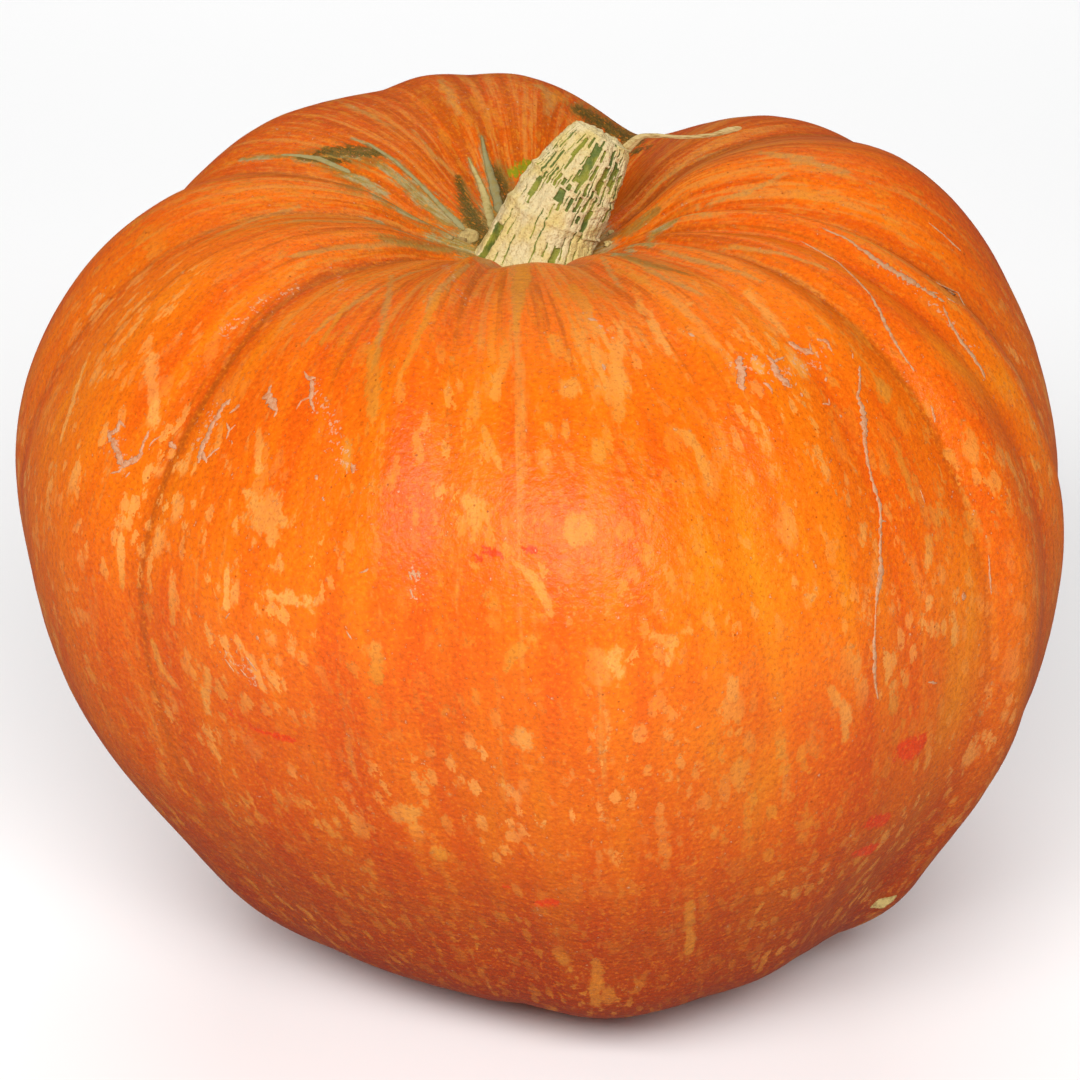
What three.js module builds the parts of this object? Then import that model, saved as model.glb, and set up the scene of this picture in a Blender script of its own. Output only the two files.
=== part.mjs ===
// A ripe ribbed pumpkin with its corky stem, standing on a small flat foot.
// Millimetres, +Z up. Azimuth 0 is the front, along -Y, and it grows towards +X.
import * as THREE from 'three';

// Half section of the fruit as [radius, height]: from the middle of the stem's hollow,
// over the crest and down the side to the middle of the underside.
const PROFILE = [
  [0, 266],
  [25, 273],
  [44, 282],
  [69, 295],
  [108, 300],
  [143, 289],
  [172, 254],
  [193, 194],
  [186, 125],
  [156, 66],
  [125, 25],
  [69, 1],
  [0, -3],
];
// Which profile point is the stem's edge, and which is the last one inside the hollow.
const STEM_EDGE = 1;
const HOLLOW_END = 6;
// Rows of vertices between one profile point and the next.
const ROWS_PER_STRETCH = [2, 2, 2, 3, 3, 3, 3, 3, 3, 3, 2, 2];

// The grooves, in order round the fruit. Depth is in mm, and swell and lift are how far
// the lobe after the groove stands out sideways and up.
const GROOVES = [
  { azimuth: -12, depth: 3.5, swell: 6, lift: 0 },
  { azimuth: 20, depth: 3, swell: 0, lift: -1 },
  { azimuth: 38, depth: 2, swell: -2, lift: -2 },
  { azimuth: 52, depth: 4.5, swell: 8, lift: -4 },
  { azimuth: 65, depth: 3.5, swell: 5, lift: -2 },
  { azimuth: 79, depth: 8, swell: -4, lift: 5 },
  { azimuth: 123, depth: 6, swell: 1, lift: -1 },
  { azimuth: 164, depth: 25, swell: -1, lift: 0, reach: 0.9 },
  { azimuth: 195, depth: 2, swell: 0, lift: 0 },
  { azimuth: 211, depth: 3, swell: -3.5, lift: -1.5 },
  { azimuth: 251, depth: 9, swell: 2, lift: 0 },
  { azimuth: 277, depth: 4, swell: -1, lift: 0 },
  { azimuth: 309, depth: 5, swell: -6, lift: -3 },
  { azimuth: 335, depth: 2, swell: -4, lift: 4 },
];
// How much of a groove's depth shows at each profile point.
const GROOVE_FADE = [0, 0.5, 0.9, 1, 1, 1, 0.9, 0.6, 0.45, 0.35, 0.3, 0.2, 0];
// Share of a lobe that a groove's wall takes, how steep the wall is, and how round its floor is.
const GROOVE_REACH = 0.5;
const GROOVE_POWER = 2;
const GROOVE_ROUND = 0.15;
const TWIST_DEGREES = 6;

// Slow waves round the fruit as [cos, sin] pairs: first one cycle round it, then two, then three.
const HOLLOW_WAVES = [[-0.095, -0.02], [0.08, 0.02]];
const SHOULDER_WAVES = [[0.055, -0.02], [-0.035, -0.015], [0.05, 0.01]];
const BELLY_WAVES = [[-0.02, 0.005], [-0.01, -0.023], [0, 0.028]];
const CREST_WAVES = [[-4, 3.5], [0, 1.5]];

// The hollow lies off the middle of the fruit, and so does the foot.
const HOLLOW_OFFSET = { x: -8, y: 15 };
const FOOT_OFFSET = 4.5;
// The front lobe rises close against the stem.
const FRONT_RIM = { azimuth: 4, lift: 4, at: 2, spread: 0.9, narrow: 3 };

// The stem: where its middle is at the foot and at the broken top, and its radius on the way up.
const STEM_FOOT = new THREE.Vector3(-8, 15, 270);
const STEM_TIP = new THREE.Vector3(17, 26, 312);
const STEM_RADII = [
  [0.12, 20.3],
  [0.22, 19],
  [0.35, 18.3],
  [0.5, 17.8],
  [0.65, 16.8],
  [0.8, 15],
  [0.92, 13.2],
  [1, 11],
];
const STEM_DOME = [[1.04, 7.5]];
const STEM_DOME_TOP = 1.06;
const STEM_UPRIGHT_UNTIL = 0.4;
const STEM_RIDGES = 5;
const STEM_RIDGE_DEPTH = 0.04;
const GAP = 0.3;

// The torn strand that sticks out of the broken top, and the flat end it carries.
const STRAND_PATH = [
  [29.8, 26, 310.3],
  [32.5, 26, 312],
  [39, 26.5, 311.8],
  [46, 27, 311],
  [52, 27.5, 311],
  [58, 28, 311.5],
  [61, 28.3, 312.2],
  [64, 28.6, 313],
  [67, 28.8, 313.6],
  [69, 29, 314],
];
const STRAND_RADII = [1.1, 0.8, 0.7, 0.65, 0.65, 0.7, 1.1, 1.3, 1.0, 0.5];
const STRAND_SIDES = 8;

// Target width of one column of vertices, and the fewest columns on one lobe.
const COLUMN_DEGREES = 3.8;
const FEWEST_COLUMNS = 3;

// Heights at which the crest and the shoulders set in, and over how many mm they do.
const CREST_FROM = 190;
const CREST_OVER = 100;
const BELLY_TOP = 130;
const BELLY_OVER = 120;
const FOOT_OVER = 170;
// Profile positions at which these set in, and over how many profile points they do.
const SWELL_RISE = [4.5, 1.5];
const SWELL_FALL = [9.5, 2];
const CREST_RISE = [1, 2.5];
const RING_FALL = [4, 2.5];
const INSIDE_FROM = 2;
const LOW_FROM = 6;
const LAST = PROFILE.length - 1;
const FULL_TURN = 360;
const STEP = 1e-3;

const ease = (x) => {
  const t = THREE.MathUtils.clamp(x, 0, 1);
  return t * t * (3 - 2 * t);
};

// Sum of the waves at an angle in radians.
const wave = (pairs, angle) =>
  pairs.reduce(
    (sum, [c, s], k) => sum + c * Math.cos((k + 1) * angle) + s * Math.sin((k + 1) * angle),
    0,
  );

// A profile point by its number, mirrored across the axis past either end.
function knot(number) {
  const [radius, height] = PROFILE[LAST - Math.abs(LAST - Math.abs(number))];
  const beyond = number < 0 || number > LAST;
  return [beyond ? -radius : radius, height];
}

// The smooth half section at a position that counts profile points.
function section(position) {
  const first = Math.min(Math.floor(position), LAST - 1);
  const t = position - first;
  const [a, b, c, d] = [-1, 0, 1, 2].map((offset) => knot(first + offset));
  return [0, 1].map((k) => {
    const linear = (c[k] - a[k]) * t;
    const square = (2 * a[k] - 5 * b[k] + 4 * c[k] - d[k]) * t * t;
    const cube = (3 * b[k] - a[k] - 3 * c[k] + d[k]) * t * t * t;
    return (2 * b[k] + linear + square + cube) / 2;
  });
}

// Outward direction of the half section, as [sideways, up].
function facing(position) {
  const [r0, z0] = section(Math.max(position - STEP, 0));
  const [r1, z1] = section(Math.min(position + STEP, LAST));
  const length = Math.hypot(r1 - r0, z1 - z0);
  return [(z0 - z1) / length, (r1 - r0) / length];
}

function fade(position) {
  const first = Math.min(Math.floor(position), LAST - 1);
  return THREE.MathUtils.lerp(GROOVE_FADE[first], GROOVE_FADE[first + 1], position - first);
}

const lobes = GROOVES.map((groove, k) => {
  const next = GROOVES[(k + 1) % GROOVES.length];
  const turn = k + 1 === GROOVES.length ? FULL_TURN : 0;
  return { groove, next, from: groove.azimuth, to: next.azimuth + turn };
});

// Share of a groove's depth at a distance from it, counted in lobe widths.
function wall(distance, groove) {
  const near = distance / (groove.reach ?? GROOVE_REACH);
  const rounded = Math.hypot(near, GROOVE_ROUND) - GROOVE_ROUND;
  return Math.max(0, 1 - rounded) ** GROOVE_POWER;
}

// A lobe's own value at its middle, eased to its neighbours' values at theirs.
function eased(index, share, key) {
  const side = share < 0.5 ? -1 : 1;
  const other = lobes[(index + side + lobes.length) % lobes.length];
  const lobe = lobes[index];
  const half = (lobe.to - lobe.from) / 2;
  const otherHalf = (other.to - other.from) / 2;
  const away = Math.abs(share - 0.5) * 2 * half;
  const weight = ease(away / (half + otherHalf));
  return THREE.MathUtils.lerp(lobe.groove[key], other.groove[key], weight);
}

// A point of the rind on one column of one lobe, at a position down the profile.
function rindPoint({ index, share }, position) {
  const lobe = lobes[index];
  const twist = TWIST_DEGREES * (position / (LAST / 2) - 1);
  const azimuth = THREE.MathUtils.lerp(lobe.from, lobe.to, share) + twist;
  const angle = THREE.MathUtils.degToRad(azimuth);
  const [radius, height] = section(position);
  const [sideways, up] = facing(position);

  const nearGroove = lobe.groove.depth * wall(share, lobe.groove);
  const nearNext = lobe.next.depth * wall(1 - share, lobe.next);
  const cut = (nearGroove + nearNext) * fade(position);

  const inside = 1 - ease((position - INSIDE_FROM) / (HOLLOW_END - INSIDE_FROM));
  const ring = ease(position / INSIDE_FROM) * (1 - ease((position - RING_FALL[0]) / RING_FALL[1]));
  const high = ease((height - BELLY_TOP) / BELLY_OVER);
  const crested = ease((position - CREST_RISE[0]) / CREST_RISE[1]);
  const crest = ease((height - CREST_FROM) / CREST_OVER) * crested;
  const side = ease((position - SWELL_RISE[0]) / SWELL_RISE[1]);
  const bulge = side * (1 - ease((position - SWELL_FALL[0]) / SWELL_FALL[1]));
  const low = position > LOW_FROM ? 1 - ease(height / FOOT_OVER) : 0;

  const outer = high * wave(SHOULDER_WAVES, angle) + (1 - high) * wave(BELLY_WAVES, angle);
  const round = 1 + (1 - inside) * outer + ring * wave(HOLLOW_WAVES, angle);
  const reach = radius * round - sideways * cut + bulge * eased(index, share, 'swell');

  const frontAngle = angle - THREE.MathUtils.degToRad(FRONT_RIM.azimuth);
  const front = Math.max(0, Math.cos(frontAngle)) ** FRONT_RIM.narrow;
  const rim = Math.exp(-(((position - FRONT_RIM.at) / FRONT_RIM.spread) ** 2));
  const lift = wave(CREST_WAVES, angle) + eased(index, share, 'lift');
  const top = height + crest * lift - up * cut + FRONT_RIM.lift * front * rim;

  return new THREE.Vector3(
    reach * Math.sin(angle) + HOLLOW_OFFSET.x * inside + FOOT_OFFSET * low,
    -reach * Math.cos(angle) + HOLLOW_OFFSET.y * inside,
    Math.max(top, 0),
  );
}

// Columns run along the grooves, so every groove has a column on its floor.
const columns = lobes.flatMap((lobe, index) => {
  const count = Math.max(FEWEST_COLUMNS, Math.round((lobe.to - lobe.from) / COLUMN_DEGREES));
  return Array.from({ length: count }, (_, k) => ({ index, share: k / count }));
});

const rows = ROWS_PER_STRETCH.flatMap((count, stretch) =>
  Array.from({ length: count }, (_, k) => stretch + (k + 1) / count),
).slice(0, -1);

// Joins rings of equal length into one closed skin, with a point at each end.
// Seen from the first point, the rings run anticlockwise and the outside faces the viewer.
function skin(firstPoint, rings, lastPoint) {
  const count = rings[0].length;
  const points = [firstPoint, ...rings.flat(), lastPoint];
  const at = (row, column) => 1 + row * count + (column % count);
  const end = points.length - 1;
  const corners = [];
  for (let column = 0; column < count; column += 1) {
    corners.push(0, at(0, column), at(0, column + 1));
    for (let row = 0; row + 1 < rings.length; row += 1) {
      const [a, b] = [at(row, column), at(row + 1, column)];
      const [c, d] = [at(row + 1, column + 1), at(row, column + 1)];
      corners.push(a, b, c, a, c, d);
    }
    corners.push(at(rings.length - 1, column), end, at(rings.length - 1, column + 1));
  }
  const geometry = new THREE.BufferGeometry().setFromPoints(points);
  geometry.setIndex(corners);
  geometry.computeVertexNormals();
  return geometry;
}

function fruitShape() {
  const rings = rows.map((position) => columns.map((column) => rindPoint(column, position)));
  return skin(rindPoint(columns[0], 0), rings, rindPoint(columns[0], LAST));
}

// A point of the stem's side: a ring that lies flat at the foot and square to the stem higher up.
function stemPoint(along, radius, azimuth) {
  const axis = STEM_TIP.clone().sub(STEM_FOOT).normalize();
  const upright = new THREE.Vector3(0, 0, 1);
  const normal = upright.lerp(axis, ease(along / STEM_UPRIGHT_UNTIL)).normalize();
  const right = new THREE.Vector3(1, 0, 0).projectOnPlane(normal).normalize();
  const back = normal.clone().cross(right);
  const angle = THREE.MathUtils.degToRad(azimuth);
  const ridged = radius * (1 + STEM_RIDGE_DEPTH * Math.cos(STEM_RIDGES * angle));
  return STEM_FOOT.clone()
    .lerp(STEM_TIP, along)
    .addScaledVector(right, ridged * Math.sin(angle))
    .addScaledVector(back, -ridged * Math.cos(angle));
}

// The stem runs from its broken top down its side, then in under its foot,
// which copies the floor of the hollow a gap higher.
function stemShape() {
  const azimuths = columns.map(({ index, share }) =>
    THREE.MathUtils.lerp(lobes[index].from, lobes[index].to, share) - TWIST_DEGREES,
  );
  const sides = [...STEM_RADII, ...STEM_DOME]
    .reverse()
    .map(([along, radius]) => azimuths.map((azimuth) => stemPoint(along, radius, azimuth)));
  const raised = (point) => point.add(new THREE.Vector3(0, 0, GAP));
  const floor = rows
    .filter((position) => position <= STEM_EDGE)
    .reverse()
    .map((position) => columns.map((column) => raised(rindPoint(column, position))));
  const top = stemPoint(STEM_DOME_TOP, 0, 0);
  return skin(top, [...sides, ...floor], raised(rindPoint(columns[0], 0)));
}

function strandShape() {
  const points = STRAND_PATH.map((point) => new THREE.Vector3(...point));
  const upright = new THREE.Vector3(0, 0, 1);
  const rings = points.slice(1, -1).map((point, k) => {
    const along = points[k + 2].clone().sub(points[k]).normalize();
    const across = upright.clone().cross(along).normalize();
    const over = across.clone().cross(along);
    const radius = STRAND_RADII[k + 1];
    return Array.from({ length: STRAND_SIDES }, (_, side) => {
      const angle = (side / STRAND_SIDES) * Math.PI * 2;
      return point
        .clone()
        .addScaledVector(across, radius * Math.cos(angle))
        .addScaledVector(over, radius * Math.sin(angle));
    });
  });
  return skin(points[0], rings, points[points.length - 1]);
}

function piece(name, geometry, color, roughness) {
  const material = new THREE.MeshStandardMaterial({ color, roughness, metalness: 0 });
  const mesh = new THREE.Mesh(geometry, material);
  mesh.name = name;
  return mesh;
}

const group = new THREE.Group();
group.name = 'pumpkin';
group.add(piece('fruit', fruitShape(), 0xe0761f, 0.45));
group.add(piece('stem', stemShape(), 0xcdbb86, 0.85));
group.add(piece('stem_strand', strandShape(), 0xc9a75e, 0.75));

// The frame's origin is the middle of the box, on the surface the fruit stands on.
const middle = new THREE.Box3().setFromObject(group).getCenter(new THREE.Vector3());
for (const mesh of group.children) {
  mesh.geometry.translate(-middle.x, -middle.y, 0);
}

export default group;
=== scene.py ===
# %% [markdown]
# A large ripe pumpkin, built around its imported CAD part.
# The CAD solids already have the ribs, the notch behind and the leaning stem. This file gives the same
# shapes a fine skin: cork, scars, flecks, streaks and the netted stem.
# Shapes are worked out in millimetres, in the CAD part's own frame, and become metres when a mesh is made.
# Lamps and the floor are in metres.

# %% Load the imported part
import math

import bpy
import numpy as np
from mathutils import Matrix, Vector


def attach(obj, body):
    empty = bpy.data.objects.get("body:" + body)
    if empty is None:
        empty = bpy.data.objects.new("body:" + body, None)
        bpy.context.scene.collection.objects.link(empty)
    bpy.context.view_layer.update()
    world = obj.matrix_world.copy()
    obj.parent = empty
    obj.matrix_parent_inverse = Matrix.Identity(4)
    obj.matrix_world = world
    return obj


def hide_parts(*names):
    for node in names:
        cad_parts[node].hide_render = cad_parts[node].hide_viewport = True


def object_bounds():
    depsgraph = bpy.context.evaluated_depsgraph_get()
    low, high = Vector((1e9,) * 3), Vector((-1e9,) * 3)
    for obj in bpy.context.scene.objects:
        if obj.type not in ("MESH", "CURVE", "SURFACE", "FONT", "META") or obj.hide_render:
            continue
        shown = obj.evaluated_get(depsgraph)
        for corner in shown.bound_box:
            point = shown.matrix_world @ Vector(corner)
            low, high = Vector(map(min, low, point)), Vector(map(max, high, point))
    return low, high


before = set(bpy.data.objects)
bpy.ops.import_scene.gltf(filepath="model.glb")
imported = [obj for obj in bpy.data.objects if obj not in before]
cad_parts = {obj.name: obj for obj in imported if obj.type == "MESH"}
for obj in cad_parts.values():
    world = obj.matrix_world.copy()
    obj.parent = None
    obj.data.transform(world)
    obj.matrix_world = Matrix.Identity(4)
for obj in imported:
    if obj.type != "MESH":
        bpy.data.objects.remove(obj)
CAD_BOX = [list(corner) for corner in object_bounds()]
MM = 0.001
print("CAD box in metres:", CAD_BOX)

# %% [markdown]
# The camera stands in front of the pumpkin and looks 26 degrees down.
# It could be placed by eye, but the marks on the rind are found through it, so its numbers are kept as
# named values, and one function turns a point of the pumpkin into a place in the picture.

# %% Camera
PICTURE_SIDE = 1080
CAMERA_ELEVATION = math.radians(26)
CAMERA_DISTANCE = 1400.0
CAMERA_TARGET = np.array([7.33, 8.65, 160.0])
FOCAL_PIXELS = 3678.5
TARGET_PIXEL = (555, 537)
SENSOR_WIDTH = 36.0

LOOK = np.array([0, math.cos(CAMERA_ELEVATION), -math.sin(CAMERA_ELEVATION)])
LOOK_UP = np.array([0, math.sin(CAMERA_ELEVATION), math.cos(CAMERA_ELEVATION)])
CAMERA_PLACE = CAMERA_TARGET - CAMERA_DISTANCE * LOOK

lens = bpy.data.cameras.new("camera")
lens.sensor_width = SENSOR_WIDTH
lens.lens = SENSOR_WIDTH * FOCAL_PIXELS / PICTURE_SIDE
lens.shift_x = (PICTURE_SIDE / 2 - TARGET_PIXEL[0]) / PICTURE_SIDE
lens.shift_y = (TARGET_PIXEL[1] - PICTURE_SIDE / 2) / PICTURE_SIDE
camera = bpy.data.objects.new("camera", lens)
camera.location = CAMERA_PLACE * MM
camera.rotation_euler = (math.pi / 2 - CAMERA_ELEVATION, 0, 0)
bpy.context.scene.collection.objects.link(camera)
bpy.context.scene.camera = camera


def to_pixel(points):
    """Place in the picture: the offset across and up the view, times the focal length, over the depth."""
    away = points - CAMERA_TARGET
    enlarge = FOCAL_PIXELS / (CAMERA_DISTANCE + away @ LOOK)
    return np.stack(
        [TARGET_PIXEL[0] + away[..., 0] * enlarge, TARGET_PIXEL[1] - (away @ LOOK_UP) * enlarge], -1
    )


print("lens %.1f mm, camera at %s mm" % (lens.lens, np.round(CAMERA_PLACE)))

# %% [markdown]
# The light is plain: a wide soft lamp in front, above the pumpkin, a second one behind for the floor, and
# a faint surround. The front lamp makes the broad sheen half way up each lobe. At a slant the rind would
# mirror the lit floor and its lamp as a milky veil that the real one doesn't show, so neither is mirrored.

# %% Floor and lights
FLOOR_SIDE = 12.0
FLOOR_WHITE = 0.88
SURROUND = 0.12


def soft_lamp(name, place, aim, wide, high, watts):
    """A lamp that wide and high in metres, turned so that its face looks at aim."""
    light = bpy.data.lights.new(name, "AREA")
    light.shape = "RECTANGLE"
    light.size = wide
    light.size_y = high
    light.energy = watts
    lamp = bpy.data.objects.new(name, light)
    direction = np.array(aim, float) - np.array(place, float)
    tilt = math.atan2(math.hypot(direction[0], direction[1]), -direction[2])
    lamp.location = place
    lamp.rotation_euler = (tilt, 0, math.atan2(-direction[0], direction[1]))
    bpy.context.scene.collection.objects.link(lamp)
    return lamp


# Each lamp's place, what it looks at, its width and height, all in metres, and its watts.
LAMPS = {
    "front_lamp": ((-0.15, -1.8, 1.75), (0, 0, 0.15), 3.0, 0.8, 92),
    "floor_lamp": ((0, 3.6, 3.2), (0, 4.4, 0), 4.0, 4.0, 190),
}
lamps = {name: soft_lamp(name, *settings) for name, settings in LAMPS.items()}
lamps["floor_lamp"].visible_glossy = False

world = bpy.data.worlds.new("surround")
world.use_nodes = True
glow = world.node_tree.nodes["Background"].inputs
glow["Color"].default_value = (1, 1, 1, 1)
glow["Strength"].default_value = SURROUND
bpy.context.scene.world = world
bpy.context.scene.view_settings.view_transform = "Standard"

half = FLOOR_SIDE / 2
floor_mesh = bpy.data.meshes.new("floor")
corners = [(-half, -half, 0), (half, -half, 0), (half, half, 0), (-half, half, 0)]
floor_mesh.from_pydata(corners, [], [(0, 1, 2, 3)])
floor = bpy.data.objects.new("floor", floor_mesh)
bpy.context.scene.collection.objects.link(floor)
floor.visible_glossy = False
print("floor %.0f m wide, surround %.2f" % (FLOOR_SIDE, SURROUND))

# %% [markdown]
# Skin and cork are never quite even. The same kind of randomness serves all of them: a fixed random number
# on every corner of a cubic lattice, blended smoothly between the corners, and finer copies added on top.
# A hash of the corner's whole numbers gives the same result on every run, which a random generator that is
# called in another order wouldn't.

# %% Unevenness
HASH_STEPS = (374761393, 668265263, 1442695041, 3266489917)
HASH_MIX = 1274126177
HASH_MASK = 0xFFFFFFFF


def ease(x):
    """0 below 0, 1 above 1, and 3x^2 - 2x^3 between."""
    t = np.clip(x, 0, 1)
    return t * t * (3 - 2 * t)


def unit(vectors):
    """Each vector divided by its own length."""
    return vectors / np.maximum(np.linalg.norm(vectors, axis=-1, keepdims=True), 1e-9)


def chance(a, b=0, c=0, seed=0):
    """A fixed number from 0 to 1 for whole numbers a, b, c: large multiples, mixed bit by bit."""
    mixed = sum(np.asarray(k, np.int64) * step for k, step in zip((a, b, c, seed), HASH_STEPS))
    mixed = mixed & HASH_MASK
    mixed = ((mixed ^ (mixed >> 13)) * HASH_MIX) & HASH_MASK
    return ((mixed ^ (mixed >> 16)) & 0xFFFF) / 0xFFFF


def clouds(points, size, seed):
    """Smooth noise from -1 to 1, with one random number for every size millimetres."""
    scaled = np.asarray(points, float) / size
    corner = np.floor(scaled).astype(np.int64)
    inside = ease(scaled - corner)
    total = 0
    for x, y, z in np.ndindex(2, 2, 2):
        weight = np.abs(1 - x - inside[..., 0]) * np.abs(1 - y - inside[..., 1])
        weight = weight * np.abs(1 - z - inside[..., 2])
        total = total + weight * chance(corner[..., 0] + x, corner[..., 1] + y, corner[..., 2] + z, seed)
    return 2 * total - 1


def layered(points, size, seed, layers=3):
    """Clouds plus finer clouds, each half the size and half the strength of the one before."""
    return sum(clouds(points, size / 2**k, seed + k) / 2**k for k in range(layers))


# %% [markdown]
# The fruit's shape is the one that the CAD part has. A half section runs from the stem's hollow over the
# crest to the foot. It is swept round the fruit, and each groove cuts into it, each lobe swells by its own
# amount, and slow waves make the whole lopsided. Here it is evaluated for whole arrays of directions at
# once, which gives a smooth skin in place of the CAD part's facets.

# %% The fruit's measures
PROFILE = np.array([
    [0, 266], [25, 273], [44, 282], [69, 295], [108, 300], [143, 289], [172, 254], [193, 194], [186, 125],
    [156, 66], [125, 25], [69, 1], [0, -3],
], float)
LAST = len(PROFILE) - 1
HOLLOW_END = 6

# Each groove's azimuth in degrees, then in mm its depth and the swell and lift of the lobe after it,
# and last its reach as a share of the lobe.
GROOVES = np.array([
    [-12, 3.5, 6, 0, 0.5], [20, 3, 0, -1, 0.5], [38, 2, -2, -2, 0.5], [52, 4.5, 8, -4, 0.5],
    [65, 3.5, 5, -2, 0.5], [79, 8, -4, 5, 0.5], [123, 6, 1, -1, 0.5], [164, 25, -1, 0, 0.9],
    [195, 2, 0, 0, 0.5], [211, 3, -3.5, -1.5, 0.5], [251, 9, 2, 0, 0.5], [277, 4, -1, 0, 0.5],
    [309, 5, -6, -3, 0.5], [335, 2, -4, 4, 0.5],
])
AZIMUTHS, DEPTHS, SWELLS, LIFTS, REACHES = GROOVES.T
GROOVE_FADE = [0, 0.5, 0.9, 1, 1, 1, 0.9, 0.6, 0.45, 0.35, 0.3, 0.2, 0]
GROOVE_POWER = 2
GROOVE_ROUND = 0.15
TWIST_DEGREES = 6
HOLLOW_WAVES = [[-0.095, -0.02], [0.08, 0.02]]
SHOULDER_WAVES = [[0.055, -0.02], [-0.035, -0.015], [0.05, 0.01]]
BELLY_WAVES = [[-0.02, 0.005], [-0.01, -0.023], [0, 0.028]]
CREST_WAVES = [[-4, 3.5], [0, 1.5]]
HOLLOW_OFFSET = (-8, 15)
FOOT_OFFSET = 4.5
FRONT_RIM = {"azimuth": 4, "lift": 4, "at": 2, "spread": 0.9, "narrow": 3}
CREST_FROM, CREST_OVER = 190, 100
BELLY_TOP, BELLY_OVER = 130, 120
FOOT_OVER = 170
SWELL_RISE, SWELL_FALL = (4.5, 1.5), (9.5, 2)
CREST_RISE = (1, 2.5)
RING_FALL = (4, 2.5)
INSIDE_FROM = 2
SECTION_NUDGE = 1e-3
CAD_SHIFT = np.array([7.331, 8.646, 0])

LOBE_STARTS = AZIMUTHS - AZIMUTHS[0]
LOBE_WIDTHS = np.diff(np.append(LOBE_STARTS, 360))
MIRRORED = np.vstack([PROFILE[1] * [-1, 1], PROFILE, PROFILE[-2] * [-1, 1]])
print("grooves:", len(GROOVES), " narrowest lobe %.0f degrees" % LOBE_WIDTHS.min())


# %% The fruit's shape
def section(position):
    """Radius and height at a position that counts profile points, on a smooth curve through them."""
    first = np.clip(np.floor(position).astype(int), 0, LAST - 1)
    t = (position - first)[..., None]
    a, b, c, d = (MIRRORED[first + k] for k in range(4))
    square = 2 * a - 5 * b + 4 * c - d
    cube = 3 * b - a - 3 * c + d
    return (2 * b + (c - a) * t + square * t**2 + cube * t**3) / 2


# %% Grooves and lobes
def lobe_at(azimuth):
    """Number of the lobe that a direction meets, and how far across it, from 0 to 1."""
    turned = (azimuth - AZIMUTHS[0]) % 360
    index = np.searchsorted(LOBE_STARTS, turned, side="right") - 1
    return index, (turned - LOBE_STARTS[index]) / LOBE_WIDTHS[index]


def groove_cut(azimuth):
    """Depth cut into the rind: each groove's depth times the square of one less the distance from it."""
    index, share = lobe_at(azimuth)
    total = 0
    for groove, away in ((index, share), ((index + 1) % len(GROOVES), 1 - share)):
        near = np.hypot(away / REACHES[groove], GROOVE_ROUND) - GROOVE_ROUND
        total = total + DEPTHS[groove] * np.maximum(0, 1 - near) ** GROOVE_POWER
    return total


def eased_round(values, azimuth):
    """Each lobe's own value at its middle, eased to its neighbours' values at theirs."""
    index, share = lobe_at(azimuth)
    other = (index + np.where(share < 0.5, -1, 1)) % len(GROOVES)
    away = np.abs(share - 0.5) * LOBE_WIDTHS[index]
    weight = ease(away / ((LOBE_WIDTHS[index] + LOBE_WIDTHS[other]) / 2))
    return values[index] * (1 - weight) + values[other] * weight


def wave(pairs, angle):
    """Sum of cosines and sines of one, two, three turns round the fruit."""
    return sum(c * np.cos(k * angle) + s * np.sin(k * angle) for k, (c, s) in enumerate(pairs, 1))


def plain_rind(azimuth, position):
    """A point of the smooth rind: the half section, pushed in by grooves and out by swells and waves."""
    azimuth, position = np.broadcast_arrays(np.asarray(azimuth, float), np.asarray(position, float))
    angle = np.radians(azimuth + TWIST_DEGREES * (position / (LAST / 2) - 1))
    radius, height = np.moveaxis(section(position), -1, 0)
    ahead = section(np.minimum(position + SECTION_NUDGE, LAST))
    ahead = unit(ahead - section(np.maximum(position - SECTION_NUDGE, 0)))
    sideways, up = -ahead[..., 1], ahead[..., 0]

    cut = groove_cut(azimuth) * np.interp(position, np.arange(LAST + 1), GROOVE_FADE)
    inside = 1 - ease((position - INSIDE_FROM) / (HOLLOW_END - INSIDE_FROM))
    ring = ease(position / INSIDE_FROM) * (1 - ease((position - RING_FALL[0]) / RING_FALL[1]))
    high = ease((height - BELLY_TOP) / BELLY_OVER)
    crest = ease((height - CREST_FROM) / CREST_OVER) * ease((position - CREST_RISE[0]) / CREST_RISE[1])
    bulge = ease((position - SWELL_RISE[0]) / SWELL_RISE[1])
    bulge = bulge * (1 - ease((position - SWELL_FALL[0]) / SWELL_FALL[1]))
    low = np.where(position > HOLLOW_END, 1 - ease(height / FOOT_OVER), 0)

    outer = high * wave(SHOULDER_WAVES, angle) + (1 - high) * wave(BELLY_WAVES, angle)
    widened = 1 + (1 - inside) * outer + ring * wave(HOLLOW_WAVES, angle)
    reach = radius * widened - sideways * cut + bulge * eased_round(SWELLS, azimuth)
    front = np.maximum(0, np.cos(angle - math.radians(FRONT_RIM["azimuth"]))) ** FRONT_RIM["narrow"]
    rim = np.exp(-(((position - FRONT_RIM["at"]) / FRONT_RIM["spread"]) ** 2))
    lift = wave(CREST_WAVES, angle) + eased_round(LIFTS, azimuth)
    top = height + crest * lift - up * cut + FRONT_RIM["lift"] * front * rim
    x = reach * np.sin(angle) + HOLLOW_OFFSET[0] * inside + FOOT_OFFSET * low
    y = -reach * np.cos(angle) + HOLLOW_OFFSET[1] * inside
    return np.stack([x, y, np.maximum(top, 0)], -1) + CAD_SHIFT


# %% [markdown]
# A grown rind has shallow dents and a faint unevenness under the fingers, which the even curves lack.
# They go inwards only, so the fruit never outgrows its CAD solid.

# %% Dents
BROAD_DENT, BROAD_SIZE = 0.9, 46.0
FINE_DENT, FINE_SIZE = 0.3, 9.0
INSET = 0.2
DENT_SEED, FINE_SEED = 11, 23
DENTS_FADE_BELOW = 20
TURN_STEP, RUN_STEP = 0.2, 0.01


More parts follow.
